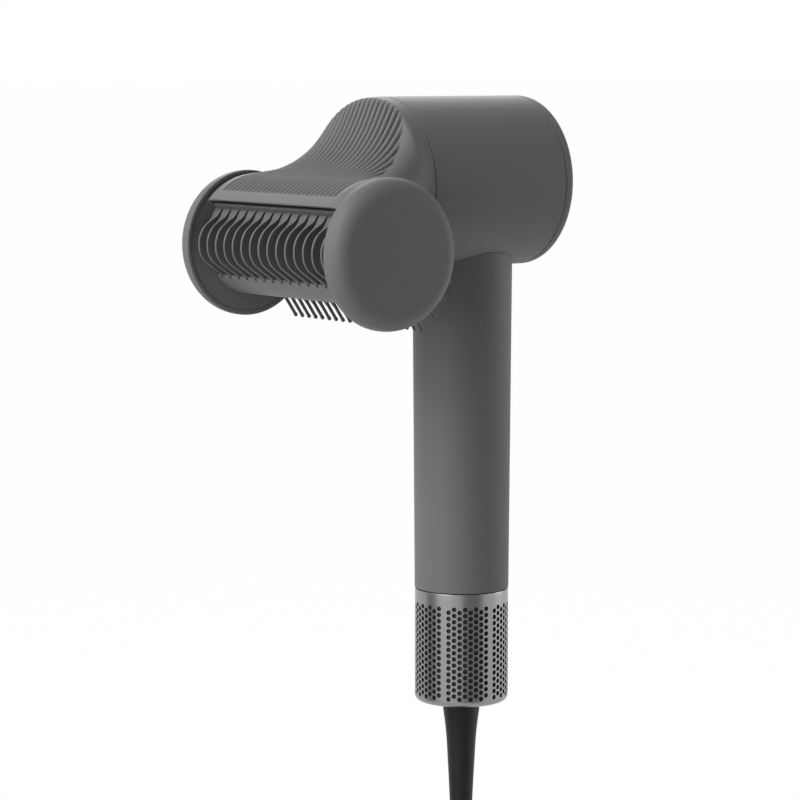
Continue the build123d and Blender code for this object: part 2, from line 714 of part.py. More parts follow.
screw_seat = TAIL_PLUG - GRIP_FOOT - PAD_DEPTH
with BuildPart() as tail_screws:
    with BuildSketch(Plane.XY.offset(screw_seat)):
        with Locations((BOSS_PLACE, 0), (-BOSS_PLACE, 0)):
            Circle(SCREW_RADIUS)
    extrude(amount=PAD_DEPTH + SCREW_LENGTH - SCREW_RADIUS)
    with BuildSketch(Plane.XY.offset(screw_seat)):
        with Locations((BOSS_PLACE, 0), (-BOSS_PLACE, 0)):
            Circle(2 * SCREW_RADIUS)
    extrude(amount=-SCREW_HEAD)
finish(tail_screws.part, "tail_screws")

hole_zone = (collar_foot + cage_foot + CAGE_EDGE) / 2
with BuildPart() as inlet_cage:
    with BuildSketch(Plane.XZ):
        with BuildLine():
            Polyline(
                (CAGE_RADIUS, cage_top),
                (CAGE_RADIUS, cage_foot),
                (COLUMN_RADIUS + SLIDING, cage_foot),
                (COLUMN_RADIUS + SLIDING, cage_foot + CAGE_WALL),
                (cage_bore, cage_foot + CAGE_WALL),
                (cage_bore, cage_top),
                close=True,
            )
        outline = make_face()
        fillet(corner_near(outline, CAGE_RADIUS, cage_foot), CAGE_EDGE)
        fillet(
            corner_near(outline, cage_bore, cage_foot + CAGE_WALL),
            CAGE_EDGE - CAGE_WALL,
        )
    revolve(axis=Axis.Z)
    for panel in range(CAGE_PANELS):
        turn = 360.0 * panel / CAGE_PANELS + 30.0
        out = (cos(radians(turn)), sin(radians(turn)), 0)
        middle = (0, 0, hole_zone)
        with BuildSketch(Plane(origin=middle, x_dir=(-out[1], out[0], 0), z_dir=out)):
            for column in range(HOLE_COLUMNS):
                across = (column - (HOLE_COLUMNS - 1) / 2) * HOLE_PITCH_ACROSS
                stagger = (0.25 - 0.5 * (column % 2)) * HOLE_PITCH_UP
                with Locations((across, stagger)):
                    with GridLocations(1, HOLE_PITCH_UP, 1, HOLE_ROWS):
                        RegularPolygon(HOLE_RADIUS, 6)
        extrude(amount=CAGE_RADIUS + 1.0, mode=Mode.SUBTRACT)
finish(inlet_cage.part, "inlet_cage")

screen_foot = cage_foot + CAGE_EDGE + SNUG
finish(
    tube(
        Plane.XY.offset(screen_foot),
        cage_bore - SNUG,
        cage_bore - SNUG - SCREEN_WALL,
        collar_foot - SLIDING - screen_foot,
    ),
    "filter_screen",
)

# Nozzle -------------------------------------------------------------------------------

neck_start = HEAD_FRONT + SEAM / 2
neck_end = BARREL_FORWARD + NECK_OVERLAP * LIP_RADIUS
lip_top = LIP_RADIUS * sqrt(1 - NECK_OVERLAP**2) - BARREL_DROP
neck_floor = -(BARREL_DROP + LOWER_RADIUS / 4)


def eased(share):
    """From 0 to 1 with a soft start and a soft end."""
    share = min(share, 1.0)
    return share * share * (3 - 2 * share)


def top_fall(along):
    """How the neck's top falls: hardly at first, then over a shoulder and ever less."""
    past = (along - SHOULDER + hypot(along - SHOULDER, SHOULDER_EDGE)) / 2
    return 1 - exp(-NECK_FALL * past)


def neck_outline(forward, half_width, top, bottom, squareness):
    """A section across the neck: a circle at squareness 2, nearly a rectangle at 7."""
    middle = (top + bottom) / 2
    half_height = (top - bottom) / 2
    power = 2 / squareness
    points = []
    for step in range(NECK_POINTS):
        turn = 2 * pi * (step + 0.5) / NECK_POINTS
        across = copysign(abs(cos(turn)) ** power, cos(turn))
        upward = copysign(abs(sin(turn)) ** power, sin(turn))
        points.append((half_width * across, middle + half_height * upward))
    with BuildSketch(across_head(forward)) as section:
        with BuildLine() as edge:
            Spline(*points, periodic=True)
        make_face(edge.edges())
    return section.sketch


def neck_form(wall):
    """The sections of the neck, from a circle at the head to a wide slot at the barrel."""
    sections = []
    for step in range(NECK_SECTIONS + 1):
        along = step / NECK_SECTIONS
        fallen = (top_fall(along) - top_fall(0)) / (top_fall(1) - top_fall(0))
        half_width = HEAD_RADIUS + eased(NECK_SPREAD * along) * (BARREL_HALF - HEAD_RADIUS)
        top = HEAD_RADIUS + fallen * (lip_top - HEAD_RADIUS)
        bottom = -HEAD_RADIUS + eased(NECK_RISE * along) * (neck_floor + HEAD_RADIUS)
        sections.append(
            neck_outline(
                neck_start + along * (neck_end - neck_start) + wall * (along - 0.5),
                half_width - wall,
                top - wall,
                bottom + wall,
                HEAD_SQUARENESS + along**SQUARING * (SLOT_SQUARENESS - HEAD_SQUARENESS),
            )
        )
    return sections


slot_inner = LIP_RADIUS - NOZZLE_WALL
slot_half = BARREL_HALF - NOZZLE_WALL
slot_end = SLOT_REAR - degrees(NOZZLE_WALL / LIP_RADIUS)
with BuildPart() as nozzle_shell:
    loft(neck_form(0.0))
    with BuildSketch(BARREL_SIDE):
        arc_band(LOWER_RADIUS, LIP_RADIUS, LIP_START, SLOT_REAR)
    extrude(amount=BARREL_HALF, both=True)
    loft(neck_form(NOZZLE_WALL), mode=Mode.SUBTRACT)
    with BuildSketch(BARREL_SIDE):
        arc_band(LOWER_RADIUS, slot_inner, PAD_END, slot_end)
    extrude(amount=slot_half, both=True, mode=Mode.SUBTRACT)
    with BuildSketch(BARREL_SIDE):
        Circle(LOWER_RADIUS + SNUG)
    extrude(amount=BARREL_HALF + 1.0, both=True, mode=Mode.SUBTRACT)
finish(nozzle_shell.part, "nozzle_shell")

coupling_outer = seat_bore - SNUG
coupling_bore = coupling_outer - COUPLING_WALL
flange_outer = HEAD_RADIUS - NOZZLE_WALL - FLANGE_INSET
magnet_circle = (coupling_bore + flange_outer) / 2
with BuildPart() as coupling_ring:
    with BuildSketch(across_head(neck_start - COUPLING_REACH)):
        ring(coupling_outer, coupling_bore)
    extrude(amount=COUPLING_REACH)
    with BuildSketch(across_head(neck_start)):
        ring(flange_outer, coupling_bore)
    extrude(amount=FLANGE_DEPTH)
    with BuildSketch(across_head(neck_start + FLANGE_DEPTH)):
        with PolarLocations(magnet_circle, MAGNETS):
            Circle(NOZZLE_MAGNET + RUNNING)
    extrude(amount=-MAGNET_DEPTH, mode=Mode.SUBTRACT)
finish(coupling_ring.part, "coupling_ring")

with BuildPart() as nozzle_magnets:
    with BuildSketch(across_head(neck_start + FLANGE_DEPTH)):
        with PolarLocations(magnet_circle, MAGNETS):
            Circle(NOZZLE_MAGNET)
    extrude(amount=-MAGNET_DEPTH)
finish(nozzle_magnets.part, "nozzle_magnets")

# Comb: a curved plate that guides the air, with a tooth below each of its pads
teeth = int(2 * BARREL_HALF / TOOTH_PITCH)
tooth_places = [(tooth - (teeth - 1) / 2) * TOOTH_PITCH for tooth in range(teeth)]
comb_inner = COMB_BACK - COMB_WALL
comb_half = BARREL_HALF - SEAM
plate_inner = LOWER_RADIUS + SLIDING
plate_rear = slot_end - degrees(SLIDING / plate_inner)
comb_foot = LOWER_FRONT - COMB_TUCK
with BuildPart() as comb_insert:
    with BuildSketch(BARREL_SIDE):
        arc_band(plate_inner, COMB_RADIUS, LIP_START - 2.0, plate_rear)
    extrude(amount=slot_half - SLIDING, both=True)
    with BuildSketch(BARREL_SIDE):
        arc_band(plate_inner, COMB_RADIUS, PAD_END, LIP_START - 1.0)
        arc_band(comb_inner, COMB_RADIUS, PAD_END, PAD_END + COMB_EDGE)
        arc_band(comb_inner, COMB_BACK, comb_foot, PAD_END + COMB_EDGE)
        arc_band(comb_inner, LOWER_RADIUS - LOWER_WALL - SNUG, comb_foot, LOWER_FRONT)
    extrude(amount=comb_half, both=True)
    for gap in range(teeth + 1):
        middle = (gap - teeth / 2) * TOOTH_PITCH
        with BuildSketch(BARREL_SIDE.offset(-middle)):
            arc_band(COMB_RADIUS - SLIT_DEPTH, COMB_RADIUS + 1.0, PAD_END - 1.0, LIP_START - 3.0)
        extrude(amount=SLIT / 2, both=True, mode=Mode.SUBTRACT)
finish(comb_insert.part, "comb_insert")

tooth_top = PAD_END - 0.3
tooth_foot = LOWER_FRONT + 0.5
tooth_inner = COMB_BACK + RUNNING
with BuildPart() as comb_teeth:
    with BuildSketch(*[BARREL_SIDE.offset(place) for place in tooth_places]):
        with BuildLine():
            Polyline(
                polar(tooth_inner, tooth_top),
                polar(COMB_RADIUS - SNUG, tooth_top),
                (TOOTH_FRONT, TOOTH_SHOULDER),
                (TOOTH_FRONT, TOOTH_CHIN),
                polar(LOWER_RADIUS - SNUG, tooth_foot),
                polar(tooth_inner, tooth_foot),
            )
            CenterArc((0, 0), tooth_inner, tooth_foot, tooth_top - tooth_foot)
        outline = make_face()
        for height in (TOOTH_SHOULDER, TOOTH_CHIN):
            fillet(corner_near(outline, TOOTH_FRONT, height), TOOTH_EDGE)
    extrude(amount=TOOTH / 2, both=True)
finish(comb_teeth.part, "comb_teeth")

lower_bore = LOWER_RADIUS - LOWER_WALL
bristles = int(2 * (BARREL_HALF - BRISTLE_MARGIN) / BRISTLE_PITCH) + 1
row_length = (bristles - 1) * BRISTLE_PITCH + 2 * (BRISTLE_RADIUS + STRIP_END)
with BuildPart() as lower_shell:
    with BuildSketch(BARREL_SIDE):
        arc_band(lower_bore, LOWER_RADIUS, LOWER_REAR, LOWER_FRONT)
    extrude(amount=BARREL_HALF, both=True)
    for angle in ROW_ANGLES:
        with BuildSketch(out_from_barrel(angle)):
            Rectangle(row_length + 2 * SNUG, STRIP + 2 * SNUG)
        extrude(amount=LOWER_RADIUS + 1.0, mode=Mode.SUBTRACT)
    for place in tooth_places:
        with BuildSketch(BARREL_SIDE.offset(place)):
            arc_band(
                lower_bore - 1.0,
                LOWER_RADIUS + 1.0,
                LOWER_FRONT - TOOTH_SLOT,
                LOWER_FRONT + 1.0,
            )
        extrude(amount=TOOTH / 2 + SLIDING, both=True, mode=Mode.SUBTRACT)
finish(lower_shell.part, "lower_shell")

with BuildPart() as bristle_rows:
    for angle in ROW_ANGLES:
        outwards = out_from_barrel(angle)
        with BuildSketch(outwards.offset(lower_bore - SNUG - STRIP_FLANGE)):
            Rectangle(row_length, 2 * STRIP)
        extrude(amount=STRIP_FLANGE)
        with BuildSketch(outwards.offset(lower_bore - SNUG)):
            Rectangle(row_length, STRIP)
        extrude(amount=LOWER_WALL)
        with BuildSketch(outwards.offset(lower_bore)):
            with GridLocations(BRISTLE_PITCH, 1, bristles, 1):
                RegularPolygon(BRISTLE_RADIUS, 5)
        extrude(amount=BRISTLE_TIP - lower_bore)
finish(bristle_rows.part, "bristle_rows")

disc_inner = BARREL_HALF + SEAM
disc_outer = disc_inner + DISC_THICKNESS
dome_radius = (DISC_RADIUS**2 + DISC_DOME**2) / (2 * DISC_DOME)
spigot_radius = comb_inner - SLIDING
with BuildPart() as side_disc_right:
    with BuildSketch(Plane(origin=BARREL_CENTRE, x_dir=(1, 0, 0), z_dir=(0, -1, 0))):
        with BuildLine():
            Polyline(
                (disc_outer, 0),
                (disc_inner - DISC_SPIGOT, 0),
                (disc_inner - DISC_SPIGOT, spigot_radius),
                (disc_inner + DISC_RECESS, spigot_radius),
                (disc_inner + DISC_RECESS, DISC_RADIUS - DISC_RIM),
                (disc_inner, DISC_RADIUS - DISC_RIM),
                (disc_inner, DISC_RADIUS),
                (disc_outer - DISC_DOME, DISC_RADIUS),
            )
            RadiusArc((disc_outer - DISC_DOME, DISC_RADIUS), (disc_outer, 0), dome_radius)
        outline = make_face()
        fillet(corner_near(outline, disc_outer, DISC_RADIUS), DISC_EDGE)
        fillet(corner_near(outline, disc_inner, DISC_RADIUS), DISC_INNER_EDGE)
    revolve(axis=BARREL_AXIS)
finish(side_disc_right.part, "side_disc_right")

with BuildPart() as side_disc_left:
    mirror(side_disc_right.part, about=Plane.YZ)
finish(side_disc_left.part, "side_disc_left")

# Mains lead ---------------------------------------------------------------------------

relief_top = cage_foot
relief_foot = relief_top - RELIEF_LENGTH
with BuildPart() as strain_relief:
    with BuildSketch(Plane.XZ):
        with BuildLine():
            taper = Spline(
                *[(radius, relief_top - share * RELIEF_LENGTH) for share, radius in RELIEF_SHAPE]
            )
            Polyline(
                taper @ 0,
                (CORD_BORE - SNUG, relief_top),
                (CORD_BORE - SNUG, relief_top + RELIEF_PLUG),
                (0, relief_top + RELIEF_PLUG),
                (0, relief_foot),
                taper @ 1,
            )
        make_face()
    revolve(axis=Axis.Z)
finish(strain_relief.part, "strain_relief")

turn_radius = COIL_RADIUS + CORD_DIAMETER
entry_across, entry_up = polar(turn_radius, COIL_ENTRY)
entry = (COIL_MIDDLE[0] + entry_across, 0.0, COIL_MIDDLE[2] + entry_up)
ROUTE = [(0.0, 0.0, relief_foot), (0.0, 0.0, CORD_CORNER), entry]


def bend_radii(points):
    """The radius of each corner's arc: as large as its two runs allow."""
    radii = []
    for before, corner, after in zip(points, points[1:], points[2:]):
        first = Vector(*corner) - Vector(*before)
        second = Vector(*after) - Vector(*corner)
        shorter = min(first.length, second.length)
        radii.append(0.45 * shorter / tan(radians(first.get_angle(second)) / 2))
    return radii


radii = bend_radii(ROUTE)
print("cord radii, mm:", [round(radius, 1) for radius in radii])
with BuildPart() as cord:
    with BuildLine() as path:
        FilletPolyline(*ROUTE, radius=radii)
    with BuildSketch(Plane(origin=ROUTE[0], x_dir=(1, 0, 0), z_dir=(0, 0, -1))):
        Circle(CORD_DIAMETER / 2)
    sweep(path=path.wires()[0])
plain_volume = pi * CORD_DIAMETER**2 / 4 * path.wires()[0].length
print("cord volume over section times length:", round(cord.part.volume / plain_volume, 4))
finish(cord.part, "cord")

with BuildPart() as cord_coil:
    with BuildSketch(Plane(origin=COIL_MIDDLE)):
        with Locations((COIL_RADIUS, 0)):
            Circle(BUNDLE_RADIUS)
    revolve(axis=Axis(COIL_MIDDLE, (0, 1, 0)))
finish(cord_coil.part, "cord_coil")

tie_across, tie_up = polar(1.0, TIE_PLACE)
tie_plane = Plane(origin=COIL_MIDDLE, x_dir=(tie_across, 0, tie_up), z_dir=(-tie_up, 0, tie_across))
with BuildPart() as cord_tie:
    with BuildSketch(tie_plane):
        with Locations((COIL_RADIUS, 0)):
            ring(BUNDLE_RADIUS + SNUG + TIE_WALL, BUNDLE_RADIUS + SNUG)
    tie_arc = degrees(TIE_WIDTH / COIL_RADIUS)
    revolve(axis=Axis(COIL_MIDDLE, (0, -1, 0)), revolution_arc=tie_arc)
finish(cord_tie.part, "cord_tie")

tail_across = COIL_MIDDLE[0] + turn_radius
plug_top = COIL_MIDDLE[2] - TAIL_LENGTH
with BuildPart() as cord_tail:
    with BuildSketch(Plane.XY.offset(plug_top)):
        with Locations((tail_across, 0)):
            Circle(CORD_DIAMETER / 2)
    extrude(amount=TAIL_LENGTH)
finish(cord_tail.part, "cord_tail")

with BuildPart() as plug_body:
    with BuildSketch(Plane.XY.offset(plug_top - PLUG_NECK)):
        with Locations((tail_across, 0)):
            RectangleRounded(PLUG_BODY[0], PLUG_BODY[1], PLUG_CORNER)
    extrude(amount=-PLUG_BODY[2])
    fillet(plug_body.edges().group_by(Axis.Z)[0], PLUG_EDGE)
    with BuildSketch(Plane.XY.offset(plug_top - PLUG_NECK)):
        with Locations((tail_across, 0)):
            Circle(PLUG_BODY[1] / 2 - SEAM)
    extrude(amount=PLUG_NECK, taper=PLUG_TAPER)
finish(plug_body.part, "plug_body")

with BuildPart() as plug_blades:
    with BuildSketch(Plane.XY.offset(plug_top - PLUG_NECK - PLUG_BODY[2])):
        with Locations((tail_across, 0)):
            with GridLocations(BLADE_SPACING, 1, 2, 1):
                Rectangle(BLADE[0], BLADE[1])
    extrude(amount=-BLADE[2])
finish(plug_blades.part, "plug_blades")
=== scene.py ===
# %% [markdown]
# # A hair dryer with a wide comb nozzle
#
# The CAD frame holds the true size and place of each part, so this lesson starts by loading
# it. Every piece made here is in metres, sits in the frame's own coordinates and rides on one
# of its bodies. The origin is the middle of the grip, Z runs up to the head, and the air
# leaves towards -Y.

# %% Load the frame
import math

import bmesh
import bpy
from mathutils import Euler, Matrix, Vector


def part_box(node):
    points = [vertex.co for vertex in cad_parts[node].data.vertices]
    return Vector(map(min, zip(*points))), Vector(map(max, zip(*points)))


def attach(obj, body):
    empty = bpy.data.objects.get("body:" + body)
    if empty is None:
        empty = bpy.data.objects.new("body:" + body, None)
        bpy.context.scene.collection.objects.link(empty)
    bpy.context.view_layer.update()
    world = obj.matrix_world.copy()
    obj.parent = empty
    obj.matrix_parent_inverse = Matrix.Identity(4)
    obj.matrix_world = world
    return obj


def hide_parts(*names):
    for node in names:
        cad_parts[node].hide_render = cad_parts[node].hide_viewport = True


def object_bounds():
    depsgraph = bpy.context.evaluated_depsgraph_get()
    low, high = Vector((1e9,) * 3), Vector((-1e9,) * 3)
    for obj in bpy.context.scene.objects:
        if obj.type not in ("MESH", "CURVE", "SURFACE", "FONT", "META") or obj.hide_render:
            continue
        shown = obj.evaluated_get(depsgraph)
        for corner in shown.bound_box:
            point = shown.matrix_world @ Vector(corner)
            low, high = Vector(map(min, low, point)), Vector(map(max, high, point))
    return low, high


MM = 0.001
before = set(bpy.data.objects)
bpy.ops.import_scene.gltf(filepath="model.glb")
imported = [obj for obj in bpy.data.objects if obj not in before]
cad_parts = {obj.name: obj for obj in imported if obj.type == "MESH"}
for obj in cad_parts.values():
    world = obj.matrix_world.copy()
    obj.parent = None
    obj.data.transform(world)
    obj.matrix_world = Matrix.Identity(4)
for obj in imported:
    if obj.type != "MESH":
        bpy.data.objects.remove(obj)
cad_box = [list(corner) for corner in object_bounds()]
print("CAD box in metres:", cad_box)

# %% [markdown]
# ## Camera
#
# The dryer is seen from its front right, slightly from above, as a product picture is taken:
# from more than a metre away with a long lens, so that its lines stay nearly parallel. A near
# camera with a wide lens would make the nozzle bulge.

# %% Camera
lens = bpy.data.cameras.new("long_lens")
lens.lens = 134.16
lens.sensor_width = 36.0
camera = bpy.data.objects.new("camera", lens)
bpy.context.collection.objects.link(camera)
camera.location = (0.97018, -0.75744, 0.151005)
camera.rotation_euler = Euler((math.radians(83.521), 0.0, math.radians(53.218)))
bpy.context.scene.camera = camera
print("Camera to the grip, metres:", round(camera.location.length, 3))

# %% [markdown]
# ## Colours and nodes
#
# A shader works in linear light, while a designer names a colour in sRGB hex, so one function
# turns the one into the other. A second one adds a node with its settings and its links, which
# keeps each material to a few lines that can be read from left to right. A third one gives the
# kinds of ray for which a surface may look different. The small helpers after them are for
# forms, which are bmesh objects until they are finished.


# %% Helpers for materials
def linear(colour):
    """An sRGB hex colour as linear red, green, blue and alpha."""
    channels = [int(colour[place : place + 2], 16) / 255 for place in (1, 3, 5)]
    light = [c / 12.92 if c <= 0.04045 else ((c + 0.055) / 1.055) ** 2.4 for c in channels]
    return light + [1.0]


def add_node(tree, kind, inputs=None, **settings):
    """Adds a node. Each input is a value, or the socket of another node to link from."""
    node = tree.nodes.new(kind)
    for name, value in settings.items():
        setattr(node, name, value)
    for name, value in (inputs or {}).items():
        if isinstance(value, bpy.types.NodeSocket):
            tree.links.new(value, node.inputs[name])
        else:
            node.inputs[name].default_value = value
    return node


def any_ray(tree, *kinds):
    """A socket that is 1 for rays of these kinds and 0 for all others."""
    rays = add_node(tree, "ShaderNodeLightPath")
    found = rays.outputs[kinds[0]]
    for kind in kinds[1:]:
        both = {0: found, 1: rays.outputs[kind]}
        found = add_node(tree, "ShaderNodeMath", both, operation="MAXIMUM").outputs[0]
    return found


def new_material(name):
    """An empty material, with its tree."""
    material = bpy.data.materials.new(name)
    material.use_nodes = True
    return material, material.node_tree


# %% Helpers for forms
def as_mesh(form, name):
    """Turns a form into a mesh and frees the form."""
    mesh = bpy.data.meshes.new(name)
    form.to_mesh(mesh)
    form.free()
    return mesh


def placed(data, name):
    """A new object in the scene that shows a mesh, a lamp or a curve."""
    made = bpy.data.objects.new(name, data)
    bpy.context.collection.objects.link(made)
    return made


def points_of(result):
    """The points that an operator made."""
    return [item for item in result["geom"] if isinstance(item, bmesh.types.BMVert)]


def edges_of(result):
    """The edges that an operator made."""
    return [item for item in result["geom"] if isinstance(item, bmesh.types.BMEdge)]


def edges_along(form, axis, longer_than):
    """The edges that run along an axis for more than a length in mm."""
    return [
        edge
        for edge in form.edges
        if abs((edge.verts[0].co - edge.verts[1].co)[axis]) > longer_than * MM
    ]


def same_side(form):
    """Turns all faces of a closed form outward, or those of an open one to one side."""
    bmesh.ops.recalc_face_normals(form, faces=form.faces[:])


def looking_out(form, counts):
    """Turns an open form's faces outward. counts says which axes lead away from its middle."""
    same_side(form)
    highest = max(form.faces, key=lambda face: face.calc_center_median().z)
    if highest.normal.dot(highest.calc_center_median() * Vector(counts)) < 0:
        bmesh.ops.reverse_faces(form, faces=form.faces[:])


def moved_by(form, matrix):
    """Moves a whole form by a matrix."""
    bmesh.ops.transform(form, matrix=matrix, verts=form.verts[:])


def shifted(form, vec):
    """Shifts a whole form by a vector in metres."""
    bmesh.ops.translate(form, verts=form.verts[:], vec=vec)


# %% [markdown]
# ## Studio
#
# A small product is lit by large soft boxes. Three stand in front of the nozzle at different
# heights, so the lip and the grip's front edge are the brightest, and the round end of the
# nozzle, which turns to the camera, stays dark. Two more behind draw the head's top and the
# grip's rear edge. The world fills the shadows with a dim grey, and shows itself white to the
# camera and to reflections.

# %% World
world = bpy.data.worlds.new("white_studio")
world.use_nodes = True
bpy.context.scene.world = world
tree = world.node_tree
shown = any_ray(tree, "Is Camera Ray", "Is Glossy Ray", "Is Transmission Ray")
fill = add_node(tree, "ShaderNodeBackground", {"Color": linear("#a0a0a4"), "Strength": 0.15})
white = add_node(tree, "ShaderNodeBackground", {"Color": linear("#ffffff"), "Strength": 1.0})
either = add_node(
    tree, "ShaderNodeMixShader", {0: shown, 1: fill.outputs[0], 2: white.outputs[0]}
)
tree.links.new(either.outputs[0], tree.nodes["World Output"].inputs["Surface"])
print("World:", len(tree.nodes), "nodes")


# %% Lamps
MIDDLE_OF_LIGHT = Vector((0, -0.03, 0.02))


def soft_box(name, place, power, width):
    """A square lamp at a place in metres, turned to the dryer."""
    lamp = bpy.data.lights.new(name, "AREA")
    lamp.energy = power
    lamp.size = width
    box = placed(lamp, name)
    box.location = place
    box.rotation_euler = (MIDDLE_OF_LIGHT - box.location).to_track_quat("-Z", "Y").to_euler()
    print(name, "watts:", power)


soft_box("left_soft_box", (-0.75, -1.35, 1.15), 7.4, 1.0)
soft_box("front_soft_box", (0.3, -1.5, 0.35), 6.2, 0.8)
soft_box("high_soft_box", (0.0, -1.1, 1.0), 11.5, 0.7)
soft_box("back_soft_box", (-1.2, 0.7, 0.8), 9.3, 0.9)
soft_box("rear_soft_box", (0.7, 1.7, 0.2), 6.5, 0.9)

# %% [markdown]
# ## Cards
#
# In a white room polished metal looks flat, because it mirrors the same white everywhere. Grey
# cards beside the product mend that, because the metal shows them as dark bands along its
# length. These two are seen by reflections alone: they cast no shadow and the camera doesn't
# see them.

# %% Cards
grey_card, tree = new_material("grey_reflection_card")
grey = add_node(tree, "ShaderNodeEmission", {"Color": linear("#979797"), "Strength": 1.0})
tree.links.new(grey.outputs[0], tree.nodes["Material Output"].inputs["Surface"])


def card(name, azimuth, width, low, high):
    """An upright grey card that only reflections show, half a metre from the grip."""
    form = bmesh.new()
    bmesh.ops.create_grid(form, x_segments=1, y_segments=1, size=0.5)
    bmesh.ops.scale(form, verts=form.verts[:], vec=(width, high - low, 1))
    bmesh.ops.rotate(form, verts=form.verts[:], matrix=Matrix.Rotation(math.pi / 2, 3, "X"))
    shifted(form, (0, 0.5, (high + low) / 2))
    turn = Matrix.Rotation(math.radians(azimuth - 90), 3, "Z")
    bmesh.ops.rotate(form, verts=form.verts[:], matrix=turn)
    mesh = as_mesh(form, name)
    mesh.materials.append(grey_card)
    made = placed(mesh, name)
    made.visible_camera = False
    made.visible_diffuse = False
    made.visible_shadow = False
    print(name, "at", azimuth, "degrees")


card("side_card", -11.0, 0.46, -0.35, 0.3)
card("front_card", -117.0, 0.24, -0.35, 0.0)

# %% [markdown]
# ## Floor
#
# A wide sheet of matt white paper lies just under the plug. It throws light up to the dryer
# like any paper, but to the camera and to reflections it is nearly as white as the world, so
# no horizon shows.

# %% Floor
FLOOR_HEIGHT = cad_box[0][2] - 0.01
floor_form = bmesh.new()
bmesh.ops.create_grid(floor_form, x_segments=1, y_segments=1, size=60.0)
shifted(floor_form, (0, 0, FLOOR_HEIGHT))
floor_mesh = as_mesh(floor_form, "floor")
placed(floor_mesh, "floor")
paper, tree = new_material("matt_white_paper")
sheet = tree.nodes["Principled BSDF"]
sheet.inputs["Base Color"].default_value = linear("#f4f4f4")
sheet.inputs["Roughness"].default_value = 0.9
seen = any_ray(tree, "Is Camera Ray", "Is Glossy Ray")
mostly = add_node(tree, "ShaderNodeMath", {0: seen, 1: 0.99}, operation="MULTIPLY")
glow = add_node(tree, "ShaderNodeEmission", {"Color": linear("#ffffff"), "Strength": 1.0})
blend = add_node(
    tree, "ShaderNodeMixShader", {0: mostly.outputs[0], 1: sheet.outputs[0], 2: glow.outputs[0]}
)
tree.links.new(blend.outputs[0], tree.nodes["Material Output"].inputs["Surface"])
floor_mesh.materials.append(paper)
print("Floor at", round(FLOOR_HEIGHT, 3))

# %% [markdown]
# ## Making pieces
#
# Most parts of the dryer are turned or moulded. A few helpers serve them all: one spins an
# outline with rounded corners, as a lathe would, one adds a box, one rounds sharp edges, one
# puts a form in the frame as a piece with smooth shading, and one mixes a finish from a grain
# size, two close shades and a roughness. A finish can also paint shade into its colour: it
# darkens the colour where an attribute of the mesh is high.


# %% Rounding
def round_off(form, geometry, size, segments, affect="EDGES"):
    """Rounds edges by a size in mm, or with VERTICES the corners of a line."""
    bmesh.ops.bevel(
        form,
        geom=geometry,
        offset=size * MM,
        offset_type="OFFSET",
        segments=segments,
        profile=0.5,
        affect=affect,
        material=-1,
    )


def softened(form, verts, size, segments=2):
    """Rounds the sharp edges between some points by a size in mm."""
    chosen = set(verts)
    same_side(form)
    sharp = [
        edge
        for edge in form.edges
        if chosen.issuperset(edge.verts)
        and len(edge.link_faces) == 2
        and edge.calc_face_angle(0.0) > math.radians(50)
    ]
    round_off(form, sharp, size, segments)


# %% Turning an outline
def spun(form, geometry, axis, angle, steps, merge=False):
    """Spins geometry about an axis through the origin, by an angle in radians."""
    bmesh.ops.spin(
        form,
        geom=geometry,
        cent=(0, 0, 0),
        axis=axis,
        dvec=(0, 0, 0),
        angle=angle,
        steps=steps,
        use_merge=merge,
    )


def turned(outline, rounded=(), steps=128, closed=True):
    """Spins (radius, height) points in mm about Z. rounded lists (corner, size, segments)."""
    form = bmesh.new()
    corners = [form.verts.new((radius * MM, 0, height * MM)) for radius, height in outline]
    for pair in zip(corners, corners[1:] + corners[:1] if closed else corners[1:]):
        form.edges.new(pair)
    for corner, size, segments in rounded:
        round_off(form, [corners[corner]], size, segments, "VERTICES")
    spun(form, form.verts[:] + form.edges[:], (0, 0, 1), 2 * math.pi, steps, merge=True)
    bmesh.ops.remove_doubles(form, verts=form.verts[:], dist=0.001 * MM)
    same_side(form)
    return form


# %% Boxes and joined forms
def block(form, size, middle=(0, 0, 0)):
    """Adds a box of a size in mm round a point in metres."""
    verts = bmesh.ops.create_cube(form, size=1.0)["verts"]
    bmesh.ops.scale(form, verts=verts, vec=[side * MM for side in size])
    bmesh.ops.translate(form, verts=verts, vec=middle)


def joined(form, other):
    """Adds another form to a form."""
    mesh = as_mesh(other, "joined")
    form.from_mesh(mesh)
    bpy.data.meshes.remove(mesh)


# %% From a form to a piece
def publish(form, name, body, material, nodes=(), crease=35.0):
    """Makes a smooth-shaded piece that rides on a body and stands for CAD nodes."""
    mesh = as_mesh(form, name)
    mesh.shade_smooth()
    mesh.set_sharp_from_angle(angle=math.radians(crease))
    mesh.materials.append(material)
    piece = placed(mesh, name)
    even = piece.modifiers.new("even_shading", "WEIGHTED_NORMAL")
    even.keep_sharp = True
    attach(piece, body)
    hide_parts(*nodes)
    print(name, "triangles:", sum(len(face.vertices) - 2 for face in mesh.polygons))
    return piece


